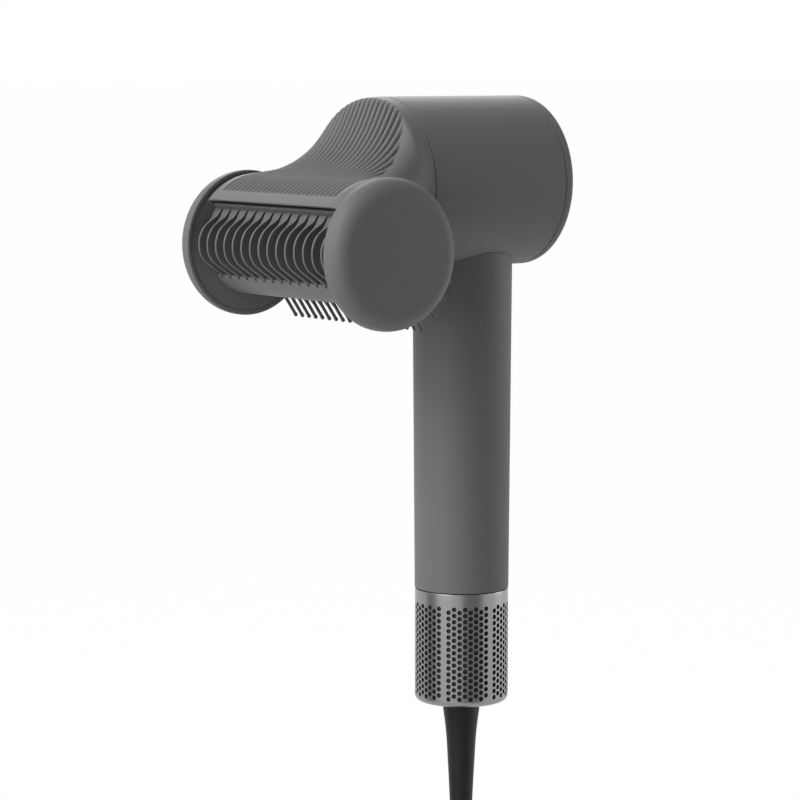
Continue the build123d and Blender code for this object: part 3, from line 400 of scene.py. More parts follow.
# %% Mixing a finish
def finish(name, shades, grain, roughness, relief=0.0, metallic=0.0, specular=0.5, painted_shade=None):
    """A material that wanders between two hex shades in grains of a size in mm.

    The last argument names a mesh attribute from 0 to 1 and the painted shade's colour.
    """
    material, tree = new_material(name)
    shader = tree.nodes["Principled BSDF"]
    shader.inputs["Roughness"].default_value = roughness
    shader.inputs["Metallic"].default_value = metallic
    shader.inputs["Specular IOR Level"].default_value = specular
    place = add_node(tree, "ShaderNodeTexCoord")
    grains = add_node(
        tree,
        "ShaderNodeTexNoise",
        {"Vector": place.outputs["Object"], "Scale": 1 / (grain * MM), "Detail": 3.0},
    )
    shade = add_node(
        tree,
        "ShaderNodeMix",
        {0: grains.outputs[0], 6: linear(shades[0]), 7: linear(shades[1])},
        data_type="RGBA",
    )
    colour = shade.outputs[2]
    # Painted shade: the colour is darkened towards a dark grey where the attribute is high.
    if painted_shade:
        depth = add_node(tree, "ShaderNodeAttribute", attribute_name=painted_shade[0])
        shade_painted_in = add_node(
            tree,
            "ShaderNodeMix",
            {0: depth.outputs["Fac"], 6: colour, 7: linear(painted_shade[1])},
            data_type="RGBA",
        )
        colour = shade_painted_in.outputs[2]
    tree.links.new(colour, shader.inputs["Base Color"])
    if relief:
        pores = add_node(
            tree,
            "ShaderNodeBump",
            {"Height": grains.outputs[0], "Distance": relief * MM, "Strength": 0.6},
        )
        tree.links.new(pores.outputs[0], shader.inputs["Normal"])
    print("Finish:", name)
    return material


# %% [markdown]
# ## Finishes
#
# The covers are ABS with a soft-touch paint, which scatters light nearly evenly and has pores
# of about a tenth of a millimetre. They are drawn at 0.4 mm, because finer ones wouldn't show.
# On the ribbed shell the grooves get painted shade: their colour is darkened, so they look
# darker than their shadow alone. The panel, the comb and the bristles are bare moulded plastic,
# a little glossier. The cage is aluminium, blasted and anodised, so it mirrors the studio in
# broad soft bands. The lead and its relief are soft PVC and TPE, nearly black.

# %% Finishes of the covers
soft_touch = finish(
    "soft_touch_painted_abs", ("#6c6c6e", "#727274"), 0.4, 0.55, relief=0.012, specular=0.28
)
# Painted shade: the groove attribute darkens the ribbed shell's colour in its grooves.
ribbed_touch_painted_shade = finish(
    "soft_touch_with_painted_groove_shade",
    ("#707072", "#767678"),
    0.4,
    0.55,
    relief=0.012,
    specular=0.28,
    painted_shade=("groove", "#303032"),
)
satin_panel = finish("satin_moulded_abs", ("#454547", "#4b4b4d"), 0.3, 0.42, relief=0.01)
comb_plastic = finish("fine_textured_pa6_comb", ("#5f5f61", "#656567"), 0.3, 0.45, relief=0.01)
pin_nylon = finish("moulded_nylon_bristle", ("#3c3c3e", "#424244"), 0.3, 0.45, relief=0.01)
anodised = finish(
    "blasted_anodised_aluminium", ("#8b8c8e", "#949597"), 0.25, 0.3, relief=0.006, metallic=1.0
)
black_mesh = finish("blackened_steel_mesh", ("#141414", "#1d1d1d"), 0.3, 0.6, relief=0.02)
tpe = finish("soft_black_tpe", ("#161617", "#1b1b1c"), 0.5, 0.5, relief=0.015, specular=0.25)
pvc = finish("black_pvc_sheath", ("#1b1b1c", "#212122"), 0.6, 0.42, relief=0.02)

# %% [markdown]
# ## Mains lead
#
# The lead hangs straight out of its relief. Its unseen length is put away below as for
# storage: seven turns side by side in a ring, which shift round by one place in the last part
# of every turn, so that none crosses another. A curve with a round bevel is the simplest tube,
# and a NURBS spline bends it as smoothly as PVC does.

# %% The lead's route
LEAD = 7.0
COIL_MIDDLE = Vector((-8.0, 0.0, -252.8))
COIL_RADIUS = 36.1
COIL_ENTRY = 45.0
STRANDS = 8
STRAND_RING = LEAD / (2 * math.sin(math.pi / STRANDS)) + 0.05
TURNS = STRANDS - 1 + COIL_ENTRY / 360.0
POINTS_A_TURN = 24
relief_low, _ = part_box("strain_relief")
tail_low, tail_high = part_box("cord_tail")


def coil_point(turns):
    """A point of the coil after this many turns, in mm."""
    whole = int(turns)
    moved = max(0.0, (turns - whole - 0.6) / 0.4)
    strand = math.radians((whole + moved * moved * (3 - 2 * moved) + 0.5) * 360.0 / STRANDS)
    angle = math.radians(COIL_ENTRY - 360.0 * turns)
    out = COIL_RADIUS + STRAND_RING * math.cos(strand)
    return COIL_MIDDLE + Vector(
        (out * math.cos(angle), STRAND_RING * math.sin(strand), out * math.sin(angle))
    )


route = [
    Vector((0, 0, relief_low.z / MM)),
    Vector((0, 0, -182.0)),
    Vector((0, 1.0, -198.6)),
    Vector((11.5, 2.6, -210.1)),
]
steps = round(TURNS * POINTS_A_TURN)
route += [coil_point(TURNS * step / steps) for step in range(steps + 1)]
last = route[-1]
tail_x = (tail_low.x + tail_high.x) / 2 / MM
for drop, share in ((13, 0.9), (26, 0.4)):
    route.append(Vector((tail_x, last.y * share, last.z - drop)))
route.append(Vector((tail_x, 0, tail_low.z / MM)))
print("Points on the lead's route:", len(route))

# %% The lead as a curve
lead_curve = bpy.data.curves.new("mains_lead", "CURVE")
lead_curve.dimensions = "3D"
lead_curve.bevel_depth = LEAD / 2 * MM
lead_curve.bevel_resolution = 4
lead_curve.resolution_u = 4
lead_curve.use_fill_caps = True
spline = lead_curve.splines.new("NURBS")
spline.points.add(len(route) - 1)
for point, place in zip(spline.points, route):
    point.co = (*(place * MM), 1.0)
spline.order_u = 3
spline.use_endpoint_u = True
lead_curve.materials.append(pvc)
lead = placed(lead_curve, "mains_lead")
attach(lead, "dryer")
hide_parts("cord", "cord_coil", "cord_tail")
print("The lead replaces its CAD tube, coil and tail")

# %% [markdown]
# ## Tie and plug
#
# A strap holds the turns together. It is a band turned as a straight ring and then bent round
# the coil's own circle, so that it sits evenly on the turns. The plug is moulded over the
# lead's end: a rounded block with a ribbed neck that bends a little with the lead, and two
# plated blades with rounded tips.

# %% Strap round the turns
BUNDLE = STRAND_RING + LEAD / 2
TIE_ANGLE = 24.0
tie_form = turned(
    [(BUNDLE + 0.1, h) for h in (-6.5, -3.2, 0, 3.2, 6.5)]
    + [(BUNDLE + 1.3, h) for h in (6.5, 3.2, 0, -3.2, -6.5)],
    rounded=[(4, 0.35, 2), (5, 0.35, 2), (9, 0.35, 2), (0, 0.35, 2)],
    steps=64,
)
for vert in tie_form.verts:
    out = COIL_RADIUS * MM + vert.co.x
    turn = math.radians(TIE_ANGLE) + vert.co.z / (COIL_RADIUS * MM)
    vert.co = COIL_MIDDLE * MM + Vector((out * math.cos(turn), vert.co.y, out * math.sin(turn)))
same_side(tie_form)
strap_nylon = finish("woven_nylon_strap", ("#242426", "#303033"), 0.9, 0.75, relief=0.12)
tie = publish(tie_form, "cord_strap", "dryer", strap_nylon, ["cord_tie"])

# %% Plug body
PLUG = (25.0, 15.0, 30.0)
plug_low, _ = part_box("plug_body")
plug_form = bmesh.new()
block(plug_form, PLUG)
round_off(plug_form, edges_along(plug_form, 2, 1.0), 5.0, 8)
softened(plug_form, plug_form.verts, 1.8, 5)
shifted(plug_form, (0, 0, plug_low.z + PLUG[2] / 2 * MM))
neck = turned(
    [(0, -1.0), (7.1, -1.0), (6.6, 2.2), (5.9, 2.4), (5.9, 3.2), (6.3, 3.4), (5.9, 6.0)]
    + [(5.3, 6.2), (5.3, 7.0), (5.7, 7.2), (4.7, 11.9), (0, 11.9)],
    rounded=[(10, 0.6, 3)],
    steps=48,
    closed=False,
)
shifted(neck, (0, 0, plug_low.z + PLUG[2] * MM))
joined(plug_form, neck)
shifted(plug_form, (tail_x * MM, 0, 0))
moulded_pvc = finish("moulded_pvc_plug", ("#1c1c1d", "#232324"), 0.5, 0.4, relief=0.02)
plug = publish(plug_form, "moulded_plug", "dryer", moulded_pvc, ["plug_body"])

# %% Plug blades
BLADE = (1.5, 6.3, 17.0)
BLADE_SPACING = 12.7
blade_low, blade_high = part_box("plug_blades")
blade_form = bmesh.new()
for side in (-1, 1):
    middle = (tail_x * MM + side * BLADE_SPACING / 2 * MM, 0, (blade_low.z + blade_high.z) / 2)
    block(blade_form, BLADE, middle)
tips = [
    edge
    for edge in blade_form.edges
    if max(v.co.z for v in edge.verts) < blade_low.z + MM
    and abs(edge.verts[0].co.y - edge.verts[1].co.y) < MM
]
round_off(blade_form, tips, 1.6, 5)
round_off(blade_form, blade_form.edges[:], 0.15, 2)
nickel = finish(
    "nickel_plated_brass", ("#b4b1a8", "#bdbab2"), 0.6, 0.28, relief=0.004, metallic=1.0
)
blades = publish(blade_form, "plug_pins", "dryer", nickel, ["plug_blades"])
print("The lead ends in its plug at", round(tail_low.z, 3))

# %% [markdown]
# ## Head
#
# The head is a drum of moulded ABS with a wall of 2.2 mm, closed at the back by a cap that
# snaps in with a ring inside the drum. Both are round, so they are turned. The small rounding
# of their edges is what makes the seam between them a fine dark line with a soft light beside
# it.

# %% Head shell and rear cap
HEAD_HEIGHT, HEAD_RADIUS, HEAD_WALL = 102.0, 35.0, 2.2
HEAD_FRONT, HEAD_REAR = 40.25, -26.6
CAP_FRONT, CAP_REAR, CAP_RING = -26.75, -31.6, -20.6
RING_OUTSIDE = HEAD_RADIUS - HEAD_WALL - 0.1
RING_INSIDE = RING_OUTSIDE - HEAD_WALL
SEAM = 0.3
along_air = Matrix.Translation((0, 0, HEAD_HEIGHT * MM)) @ Matrix.Rotation(math.pi / 2, 4, "X")
drum = turned(
    [(HEAD_RADIUS, HEAD_REAR), (HEAD_RADIUS, HEAD_FRONT)]
    + [(HEAD_RADIUS - HEAD_WALL, HEAD_FRONT), (HEAD_RADIUS - HEAD_WALL, HEAD_REAR)],
    rounded=[(0, 0.5, 4), (1, 0.35, 3)],
    steps=192,
)
moved_by(drum, along_air)
publish(drum, "head_drum", "dryer", soft_touch, ["head_shell"])
cap = turned(
    [(0, CAP_REAR), (HEAD_RADIUS, CAP_REAR), (HEAD_RADIUS, CAP_FRONT), (RING_OUTSIDE, CAP_FRONT)]
    + [(RING_OUTSIDE, CAP_RING), (RING_INSIDE, CAP_RING)]
    + [(RING_INSIDE, CAP_REAR + HEAD_WALL), (0, CAP_REAR + HEAD_WALL)],
    rounded=[(1, 3.0, 10), (2, 0.5, 4)],
    steps=192,
    closed=False,
)
moved_by(cap, along_air)
publish(cap, "head_rear_cap", "dryer", soft_touch, ["rear_cap"])

# %% [markdown]
# ## Grip
#
# The grip is a tube that tapers by a millimetre towards its foot. Its top follows the drum, so
# after turning, each point of the top ring is slid along the tube's own slope until it meets
# the drum's circle. A Boolean with a whole drum would cut the same line with worse faces. The
# panel's opening goes straight through a curved wall, and there a Boolean is the plain way.

# %% Grip tube
GRIP_FOOT = 67.1
GRIP_FOOT_RADIUS = 19.6
GRIP_SLOPE = 1.0 / (GRIP_FOOT + HEAD_HEIGHT - HEAD_RADIUS)
GRIP_WALL = 1.8


def grip_radius(height):
    """The outer radius of the grip at a height, in mm."""
    return GRIP_FOOT_RADIUS + GRIP_SLOPE * (height + GRIP_FOOT)


RING_HEIGHT = 84.5
RING_RADIUS = grip_radius(RING_HEIGHT)
tube = turned(
    [(grip_radius(-GRIP_FOOT), -GRIP_FOOT), (RING_RADIUS, RING_HEIGHT)]
    + [(RING_RADIUS - GRIP_WALL, RING_HEIGHT), (GRIP_FOOT_RADIUS - GRIP_WALL, -GRIP_FOOT)],
    rounded=[(0, 0.35, 3)],
    steps=192,
)
for vert in [v for v in tube.verts if v.co.z > (RING_HEIGHT - 1) * MM]:
    turn = math.atan2(vert.co.y, vert.co.x)
    wall = 0.0 if math.hypot(vert.co.x, vert.co.y) > (RING_RADIUS - 0.5) * MM else GRIP_WALL
    height = RING_HEIGHT
    for _ in range(3):
        radius = grip_radius(height) - wall
        reach = (HEAD_RADIUS + SEAM / 2) ** 2 - (radius * math.cos(turn)) ** 2
        height = HEAD_HEIGHT - math.sqrt(reach)
    vert.co = (radius * math.cos(turn) * MM, radius * math.sin(turn) * MM, height * MM)
print("Top of the grip, mm:", round(max(v.co.z for v in tube.verts) / MM, 1))

# %% Opening for the control panel
PANEL_HEIGHT = 34.0
PANEL = (13.0, 54.0)
PANEL_FACE = 19.1


def stadium(width, length, depth, back, height):
    """A rounded bar across the back of the grip, to cut the panel's opening with."""
    bar = bmesh.new()
    block(bar, (width, depth, length))
    round_off(bar, edges_along(bar, 1, depth / 2), 0.4995 * width, 12)
    shifted(bar, (0, (back + depth / 2) * MM, height * MM))
    return bar


def baked(thing):
    """The form of an object with its modifiers. Removing its mesh removes the object too."""
    graph = bpy.context.evaluated_depsgraph_get()
    result = bpy.data.meshes.new_from_object(thing.evaluated_get(graph))
    made = bmesh.new()
    made.from_mesh(result)
    for spare in (thing.data, result):
        bpy.data.meshes.remove(spare)
    return made


def cut_out(form, cutters):
    """Takes other forms out of a form with an exact Boolean."""
    body = placed(as_mesh(form, "body"), "body")
    tools = [placed(as_mesh(cutter, "cutter"), "cutter") for cutter in cutters]
    for tool in tools:
        cut = body.modifiers.new("cut", "BOOLEAN")
        cut.object = tool
        cut.operation = "DIFFERENCE"
        cut.solver = "EXACT"
    made = baked(body)
    for tool in tools:
        bpy.data.meshes.remove(tool.data)
    return made


tube = cut_out(tube, [stadium(PANEL[0], PANEL[1], 12.0, 9.8, PANEL_HEIGHT)])
publish(tube, "grip_tube", "dryer", soft_touch, ["handle_tube"])

# %% [markdown]
# ## Perforated cage
#
# The foot of the grip is an aluminium sleeve with six panels of staggered round holes, which
# are punched into a sheet before it is rolled. The model follows that: one tile with one hole
# is copied over a flat sheet, the sheet is bent to a sleeve, its ends are extruded to the plain
# band and the rounded foot, and only then it gets its wall. Cutting 720 holes with a Boolean
# would be slow and would leave long thin faces.

# %% One tile with its hole
CAGE_RADIUS = 19.5
CAGE_WALL = 0.8
PANELS, COLUMNS, ROWS = 6, 8, 15
ACROSS, UP = 2.3, 2.6
HOLE = 2.0
FIRST_HOLE = -73.6
CAGE_TOP, CAGE_FOOT = -67.4, -115.0
FOOT_STEPS, FOOT_OPENING = 8, 8.1
sheet = bmesh.new()
bmesh.ops.create_circle(sheet, cap_ends=False, segments=12, radius=HOLE / 2)
outline = bmesh.ops.create_circle(sheet, cap_ends=False, segments=12, radius=1.0)["verts"]
for vert in outline:
    across = max(-1.0, min(1.0, 2 * vert.co.x))
    upward = math.copysign(1.0, vert.co.y) if abs(vert.co.y) > 0.7 else vert.co.y
    vert.co = (across * ACROSS / 2, upward * UP / 2, 0)
bmesh.ops.bridge_loops(sheet, edges=sheet.edges[:])
print("Faces in a tile:", len(sheet.faces))


# %% A flat panel
def copied(form, geometry, move):
    """A moved copy of part of a form."""
    made = bmesh.ops.duplicate(form, geom=geometry)
    bmesh.ops.translate(form, verts=points_of(made), vec=move)


def plain(form, x_parts, y_parts, width, height, middle):
    """A plain patch of sheet without holes."""
    verts = bmesh.ops.create_grid(form, x_segments=x_parts, y_segments=y_parts, size=0.5)["verts"]
    bmesh.ops.scale(form, verts=verts, vec=(width, height, 1))
    bmesh.ops.translate(form, verts=verts, vec=middle)


def whole(form):
    """All points, edges and faces of a form."""
    return form.verts[:] + form.edges[:] + form.faces[:]


tile = whole(sheet)
for row in range(1, ROWS):
    copied(sheet, tile, (0, -row * UP, 0))
strip = whole(sheet)
for column in range(1, COLUMNS):
    copied(sheet, strip, (column * ACROSS, (column % 2) * UP / 2, 0))
shifted(sheet, (0, FIRST_HOLE - UP / 2, 0))
zone_top = FIRST_HOLE + UP / 2
zone_foot = FIRST_HOLE - ROWS * UP
for column in range(COLUMNS):
    height = zone_foot + UP / 4 if column % 2 else zone_top - UP / 4
    plain(sheet, 2, 2, ACROSS, UP / 2, (column * ACROSS, height, 0))
gap = 2 * math.pi * CAGE_RADIUS / PANELS - COLUMNS * ACROSS
middle = ((COLUMNS - 0.5) * ACROSS + gap / 2, (zone_top + zone_foot) / 2, 0)
plain(sheet, 1, round((zone_top - zone_foot) / (UP / 4)), gap, zone_top - zone_foot, middle)
shifted(sheet, ((1 - COLUMNS) / 2 * ACROSS, 0, 0))
panel = whole(sheet)
for number in range(1, PANELS):
    copied(sheet, panel, (number * (COLUMNS * ACROSS + gap), 0, 0))
bmesh.ops.remove_doubles(sheet, verts=sheet.verts[:], dist=0.02)
print("Faces in the flat sheet:", len(sheet.faces))

# %% The sheet rolled to a sleeve
for vert in sheet.verts:
    turn = vert.co.x / CAGE_RADIUS - math.pi / 2
    vert.co = (CAGE_RADIUS * math.cos(turn), CAGE_RADIUS * math.sin(turn), vert.co.y)
bmesh.ops.remove_doubles(sheet, verts=sheet.verts[:], dist=0.02)


def lengthened(form, edges, radius, height):
    """Extrudes a ring of edges to another radius and height."""
    made = bmesh.ops.extrude_edge_only(form, edges=edges)
    for vert in points_of(made):
        scale = radius / math.hypot(vert.co.x, vert.co.y)
        vert.co = (vert.co.x * scale, vert.co.y * scale, height)
    return edges_of(made)


def ring_at(form, height):
    """The open edges at a height."""
    return [
        edge
        for edge in form.edges
        if edge.is_boundary and all(abs(vert.co.z - height) < 0.05 for vert in edge.verts)
    ]


upper = ring_at(sheet, zone_top)
for smaller, below in ((0, 2.6), (0, 0.3), (0.09, 0.09), (0.3, 0)):
    upper = lengthened(sheet, upper, CAGE_RADIUS - smaller, CAGE_TOP - below)
lower = ring_at(sheet, zone_foot)
foot_edge = zone_foot - CAGE_FOOT
for step in range(1, FOOT_STEPS + 1):
    turn = math.radians(step * 90 / FOOT_STEPS)
    radius = CAGE_RADIUS - foot_edge * (1 - math.cos(turn))
    lower = lengthened(sheet, lower, radius, zone_foot - foot_edge * math.sin(turn))
for radius in (12.5, FOOT_OPENING):
    lower = lengthened(sheet, lower, radius, CAGE_FOOT)
looking_out(sheet, (1, 1, 0))
bmesh.ops.scale(sheet, verts=sheet.verts[:], vec=(MM, MM, MM))
print("Open ends closed at", CAGE_TOP, "and", CAGE_FOOT)


# %% Wall thickness
def walled(form, thickness):
    """Gives an open surface a wall to its inner side. The outer points keep their order."""
    skin = placed(as_mesh(form, "skin"), "skin")
    wall = skin.modifiers.new("wall", "SOLIDIFY")
    wall.thickness = thickness * MM
    wall.offset = -1.0
    wall.use_even_offset = True
    return baked(skin)


cage = walled(sheet, CAGE_WALL)
publish(cage, "perforated_cage", "cage", anodised, ["inlet_cage"])

# %% [markdown]
# ## Strain relief
#
# Where the lead leaves the cage it is held by a soft sleeve of TPE. It starts as wide as the
# column inside the cage, curves in like a bell and ends a little wider than the lead, so that
# the lead bends gently and not at an edge. It is turned from a few points, whose corners are
# rounded so far that they run into each other.

# %% Relief
RELIEF_END = -166.0
relief = turned(
    [(0, -107.0), (4.0, -107.0), (4.0, CAGE_FOOT), (7.9, CAGE_FOOT), (7.7, -118.6)]
    + [(6.35, -128.5), (5.5, -143.0), (4.4, RELIEF_END), (0, RELIEF_END)],
    rounded=[(4, 1.8, 5), (5, 4.8, 8), (6, 7.0, 8), (7, 0.8, 4)],
    steps=96,
    closed=False,
)
publish(relief, "tapered_relief", "dryer", tpe, ["strain_relief"])

# %% [markdown]
# ## Nozzle shell
#
# This is the form that makes the dryer: a circle at the head turns into a wide slot over a
# shoulder and a hollow saddle, and fine ribs run down it to a plain lip. It is moulded in one
# piece. The mesh starts as one ring of points, which is extruded forward again and again and
# set on the section that belongs there, so its edges run the way the ribs do. A box pushed
# about with sculpting tools could not keep the ribs parallel.

# %% Sections of the neck, as the source has them
BARREL_FORWARD, BARREL_DROP, BARREL_HALF = 74.3, 24.9, 46.0
LIP_RADIUS, LIP_EDGE, LOWER_RADIUS = 28.9, 40.2, 20.8
LIP_START = 0.2
NECK_START = HEAD_FRONT + SEAM
NECK_END = BARREL_FORWARD + LIP_START * LIP_RADIUS
LIP_TOP = LIP_RADIUS * math.sqrt(1 - LIP_START**2) - BARREL_DROP
NECK_FLOOR = -(BARREL_DROP + LOWER_RADIUS / 4)


def eased(share):
    """From 0 to 1 with a soft start and a soft end."""
    share = max(0.0, min(share, 1.0))
    return share * share * (3 - 2 * share)


def top_fall(along):
    """How the neck's top falls: hardly at first, then over a shoulder and ever less."""
    past = (along - 0.2 + math.hypot(along - 0.2, 0.03)) / 2
    return 1 - math.exp(-3.4 * past)


def section(along):
    """Half width, middle, half height and squareness of the neck at a share of its way."""
    fallen = (top_fall(along) - top_fall(0)) / (top_fall(1) - top_fall(0))
    half_width = HEAD_RADIUS + eased(1.1 * along) * (BARREL_HALF - HEAD_RADIUS)
    top = HEAD_RADIUS + fallen * (LIP_TOP - HEAD_RADIUS)
    bottom = -HEAD_RADIUS + eased(2.2 * along) * (NECK_FLOOR + HEAD_RADIUS)
    squareness = 2 + along**2.2 * 5 + 12 * max(0.0, (along - 0.7) / 0.3) ** 2
    return half_width, (top + bottom) / 2, (top - bottom) / 2, squareness


# %% Columns round the neck
RIB_PITCH = 3.05
COLUMN_PITCH = RIB_PITCH / 8
TOP_COLUMNS = 108
SIDE_COLUMNS = 8
UNDER_COLUMNS = 40
HALF_RING = TOP_COLUMNS + SIDE_COLUMNS + UNDER_COLUMNS
TOP_SHARE = 0.9


def neck_point(number, along):
    """Where a column of the neck is, as (across, forward, up from the head's axis) in mm.

    Over the middle of the top the columns keep the ribs' pitch. Further out they are squeezed
    together, so that the last one meets the side wall.
    """
    place = min(number, 2 * HALF_RING - number)
    half_width, middle, half_height, power = section(along)
    if place <= TOP_COLUMNS:
        share = place / TOP_COLUMNS
        squeeze = TOP_COLUMNS * COLUMN_PITCH - TOP_SHARE * half_width
        across = place * COLUMN_PITCH - squeeze * max(0.0, 2 * share - 1) ** 2
        up = middle + half_height * (1 - (across / half_width) ** power) ** (1 / power)
    else:
        corner = math.atan2((1 - TOP_SHARE**power) ** (1 / power), TOP_SHARE)
        wall_end = math.radians(5 + 21.9 * along)
        if place <= TOP_COLUMNS + SIDE_COLUMNS:
            turn = corner + (wall_end - corner) * (place - TOP_COLUMNS) / SIDE_COLUMNS
        else:
            share = (place - TOP_COLUMNS - SIDE_COLUMNS) / UNDER_COLUMNS
            turn = wall_end + (-math.pi / 2 - wall_end) * share
        reach = (abs(math.cos(turn)) ** power + abs(math.sin(turn)) ** power) ** (-1 / power)
        across = half_width * reach * math.cos(turn)
        up = middle + half_height * reach * math.sin(turn)
    side = 1 if number <= HALF_RING else -1
    return side * across, NECK_START + along * (NECK_END - NECK_START), up


def from_barrel(point):
    """How far a point of the neck is from the barrel's axis, and at which angle from ahead."""
    ahead, above = point[1] - BARREL_FORWARD, point[2] + BARREL_DROP
    return math.hypot(ahead, above), math.atan2(above, ahead)


def reach_of(number):
    """The share of the way at which a column meets the lower shell."""
    if min(number, 2 * HALF_RING - number) <= TOP_COLUMNS + SIDE_COLUMNS:
        return 1.0
    near, far = 0.0, 1.0
    for _ in range(24):
        half = (near + far) / 2
        if from_barrel(neck_point(number, half))[0] > LOWER_RADIUS + 0.1:
            near = half
        else:
            far = half
    return near


reaches = [reach_of(number) for number in range(2 * HALF_RING)]
print("The floor of the neck ends at", round(neck_point(HALF_RING, reaches[HALF_RING])[1], 1))

# %% The neck, ring by ring
NECK_ROWS = 72
FIRST_ROW = 0.012
BAND_ROWS = 30
neck = bmesh.new()
column = neck.verts.layers.int.new("column")
outward = neck.verts.layers.float_vector.new("outward")
ring = bmesh.ops.create_circle(neck, cap_ends=False, segments=2 * HALF_RING, radius=HEAD_RADIUS)


def place_in_frame(across, forward, up):
    """A point of the neck in the frame, in metres."""
    return Vector((across * MM, -forward * MM, (HEAD_HEIGHT + up) * MM))


for number, vert in enumerate(ring["verts"]):
    vert[column] = number
edges = neck.edges[:]
verts = ring["verts"]
rounding = ((0.3, 0.0), (0.09, 0.09), (0.0, 0.3))
for row in range(len(rounding) + NECK_ROWS):
    if row:
        made = bmesh.ops.extrude_edge_only(neck, edges=edges)
        verts, edges = points_of(made), edges_of(made)
    for vert in verts:
        if row < len(rounding):
            across, forward, up = neck_point(vert[column], 0.0)
            scale = 1 - rounding[row][0] / HEAD_RADIUS
            vert.co = place_in_frame(across * scale, forward + rounding[row][1], up * scale)
        else:
            share = (row - len(rounding) + 1) / NECK_ROWS
            share = FIRST_ROW + share * (1 - FIRST_ROW)
            vert.co = place_in_frame(*neck_point(vert[column], share * reaches[vert[column]]))
print("Rows in the neck:", len(rounding) + NECK_ROWS)


# %% The band down to the lip
def on_top(vert):
    """Whether a column belongs to the top or a side wall."""
    return min(vert[column], 2 * HALF_RING - vert[column]) <= TOP_COLUMNS + SIDE_COLUMNS


edges = [edge for edge in edges if all(on_top(vert) for vert in edge.verts)]
for row in range(1, BAND_ROWS + 1):
    made = bmesh.ops.extrude_edge_only(neck, edges=edges)
    edges = edges_of(made)
    for vert in points_of(made):
        point = neck_point(vert[column], 1.0)
        radius, start = from_barrel(point)
        turn = start + (math.radians(LIP_EDGE) - start) * row / BAND_ROWS
        forward = BARREL_FORWARD + radius * math.cos(turn)
        vert.co = place_in_frame(point[0], forward, radius * math.sin(turn) - BARREL_DROP)
looking_out(neck, (0, 0, 1))
neck.normal_update()
for vert in neck.verts:
    vert[outward] = vert.normal
outer_points = len(neck.verts)
print("Points on the outer skin:", outer_points)

# %% [markdown]
# ## Ribs
#
# The wall gets thinner towards the lip. Then each point of the outer skin is pressed in along
# its normal where it lies in a groove, which leaves the ribs standing. A texture could draw the
# lines, but it would leave their outline smooth. The share of each point's depth is also kept
# as an attribute, with which the finish paints shade into the grooves as a darker colour.

# %% Wall and ribs
NOZZLE_WALL, LIP_WALL, LIP_TAPER = 2.2, 0.9, 8.0
RIB_DEPTH = 1.25
RIB_START, RIB_SIDE = 46.0, 39.7
PLAIN_LIP = 4.6


def in_head(vert):
    """How far a point is from the middle, ahead and above the head's axis, in mm."""
    return abs(vert.co.x) / MM, -vert.co.y / MM, vert.co.z / MM - HEAD_HEIGHT


def above_lip(point):
    """How far a point of the band is above the lip's edge, in mm along the band."""
    return (from_barrel(point)[1] - math.radians(LIP_EDGE)) * LIP_RADIUS


shell = walled(neck, NOZZLE_WALL)
shell.verts.ensure_lookup_table()
thin = LIP_WALL / NOZZLE_WALL
for outer, inner in zip(shell.verts[:outer_points], shell.verts[outer_points:]):
    point = in_head(outer)
    if point[1] > BARREL_FORWARD and point[2] > -BARREL_DROP:
        share = thin + (1 - thin) * eased(above_lip(point) / LIP_TAPER)
        inner.co = outer.co.lerp(inner.co, share)
column = shell.verts.layers.int["column"]
outward = shell.verts.layers.float_vector["outward"]
# The groove attribute carries painted shade: the shell's finish darkens its colour with it.
groove_shade_layer = shell.verts.layers.float.new("groove")
ribbed = 0
for vert in shell.verts[:outer_points]:
    place = min(vert[column], 2 * HALF_RING - vert[column])
    point = in_head(vert)
    across, forward, _ = point
    if place > TOP_COLUMNS or across > RIB_SIDE:
        continue
    start = RIB_START + 0.078 * max(0.0, across - 20.0) ** 2
    fade = eased((forward - start) / 3.5) * eased((RIB_SIDE - across) / 0.6)
    if forward > BARREL_FORWARD:
        fade *= eased((above_lip(point) - PLAIN_LIP) / 1.8)
    groove = 1 - abs(math.cos(math.pi * across / RIB_PITCH)) ** 0.8
    vert.co -= Vector(vert[outward]) * (RIB_DEPTH * fade * groove * MM)
    vert[groove_shade_layer] = fade * groove
    ribbed += 1
print("Points that carry ribs:", ribbed)
publish(
    shell, "ribbed_nozzle_shell", "nozzle", ribbed_touch_painted_shade, ["nozzle_shell"], 50.0
)

# %% [markdown]
# ## Comb plate
#
# Under the lip sits a curved plate that guides the air. It carries a wall behind the teeth, and
# a rail that stands out above them, just under the lip. Its parts are all bands round the
# barrel's axis, so one helper makes a band by turning a short radial line and extruding the
# result sideways.

# %% Bands round the barrel
BARREL_UP = HEAD_HEIGHT - BARREL_DROP
AXIS_X = (1, 0, 0)
TO_BARREL = Matrix.Translation((0, -BARREL_FORWARD * MM, BARREL_UP * MM))


def round_barrel(radius, angle):
    """A point at a radius and an angle above straight ahead, in metres from the barrel's axis."""
    turn = math.radians(angle)
    return Vector((0, -radius * math.cos(turn) * MM, radius * math.sin(turn) * MM))


def thickened(form, faces, vec):
    """Extrudes faces by a vector in metres to a closed body, and gives the moved points."""
    made = bmesh.ops.extrude_face_region(form, geom=faces, use_keep_orig=True)
    moved = points_of(made)
    bmesh.ops.translate(form, verts=moved, vec=vec)
    return moved


def band(form, inner, outer, start, end, left, right, steps):
    """A closed band between two radii and two angles, from left to right in mm."""
    ends = [form.verts.new(round_barrel(radius, start)) for radius in (inner, outer)]
    edge = form.edges.new(ends)
    spun(form, ends + [edge], AXIS_X, -math.radians(end - start), steps)
    faces = list({face for vert in ends for face in vert.link_faces})
    seen = set(faces)
    while faces:
        for edge in faces.pop().edges:
            for face in edge.link_faces:
                if face not in seen:
                    seen.add(face)
                    faces.append(face)
    verts = list({vert for face in seen for vert in face.verts})
    bmesh.ops.translate(form, verts=verts, vec=(left * MM, 0, 0))
    moved = thickened(form, list(seen), ((right - left) * MM, 0, 0))
    return verts + moved


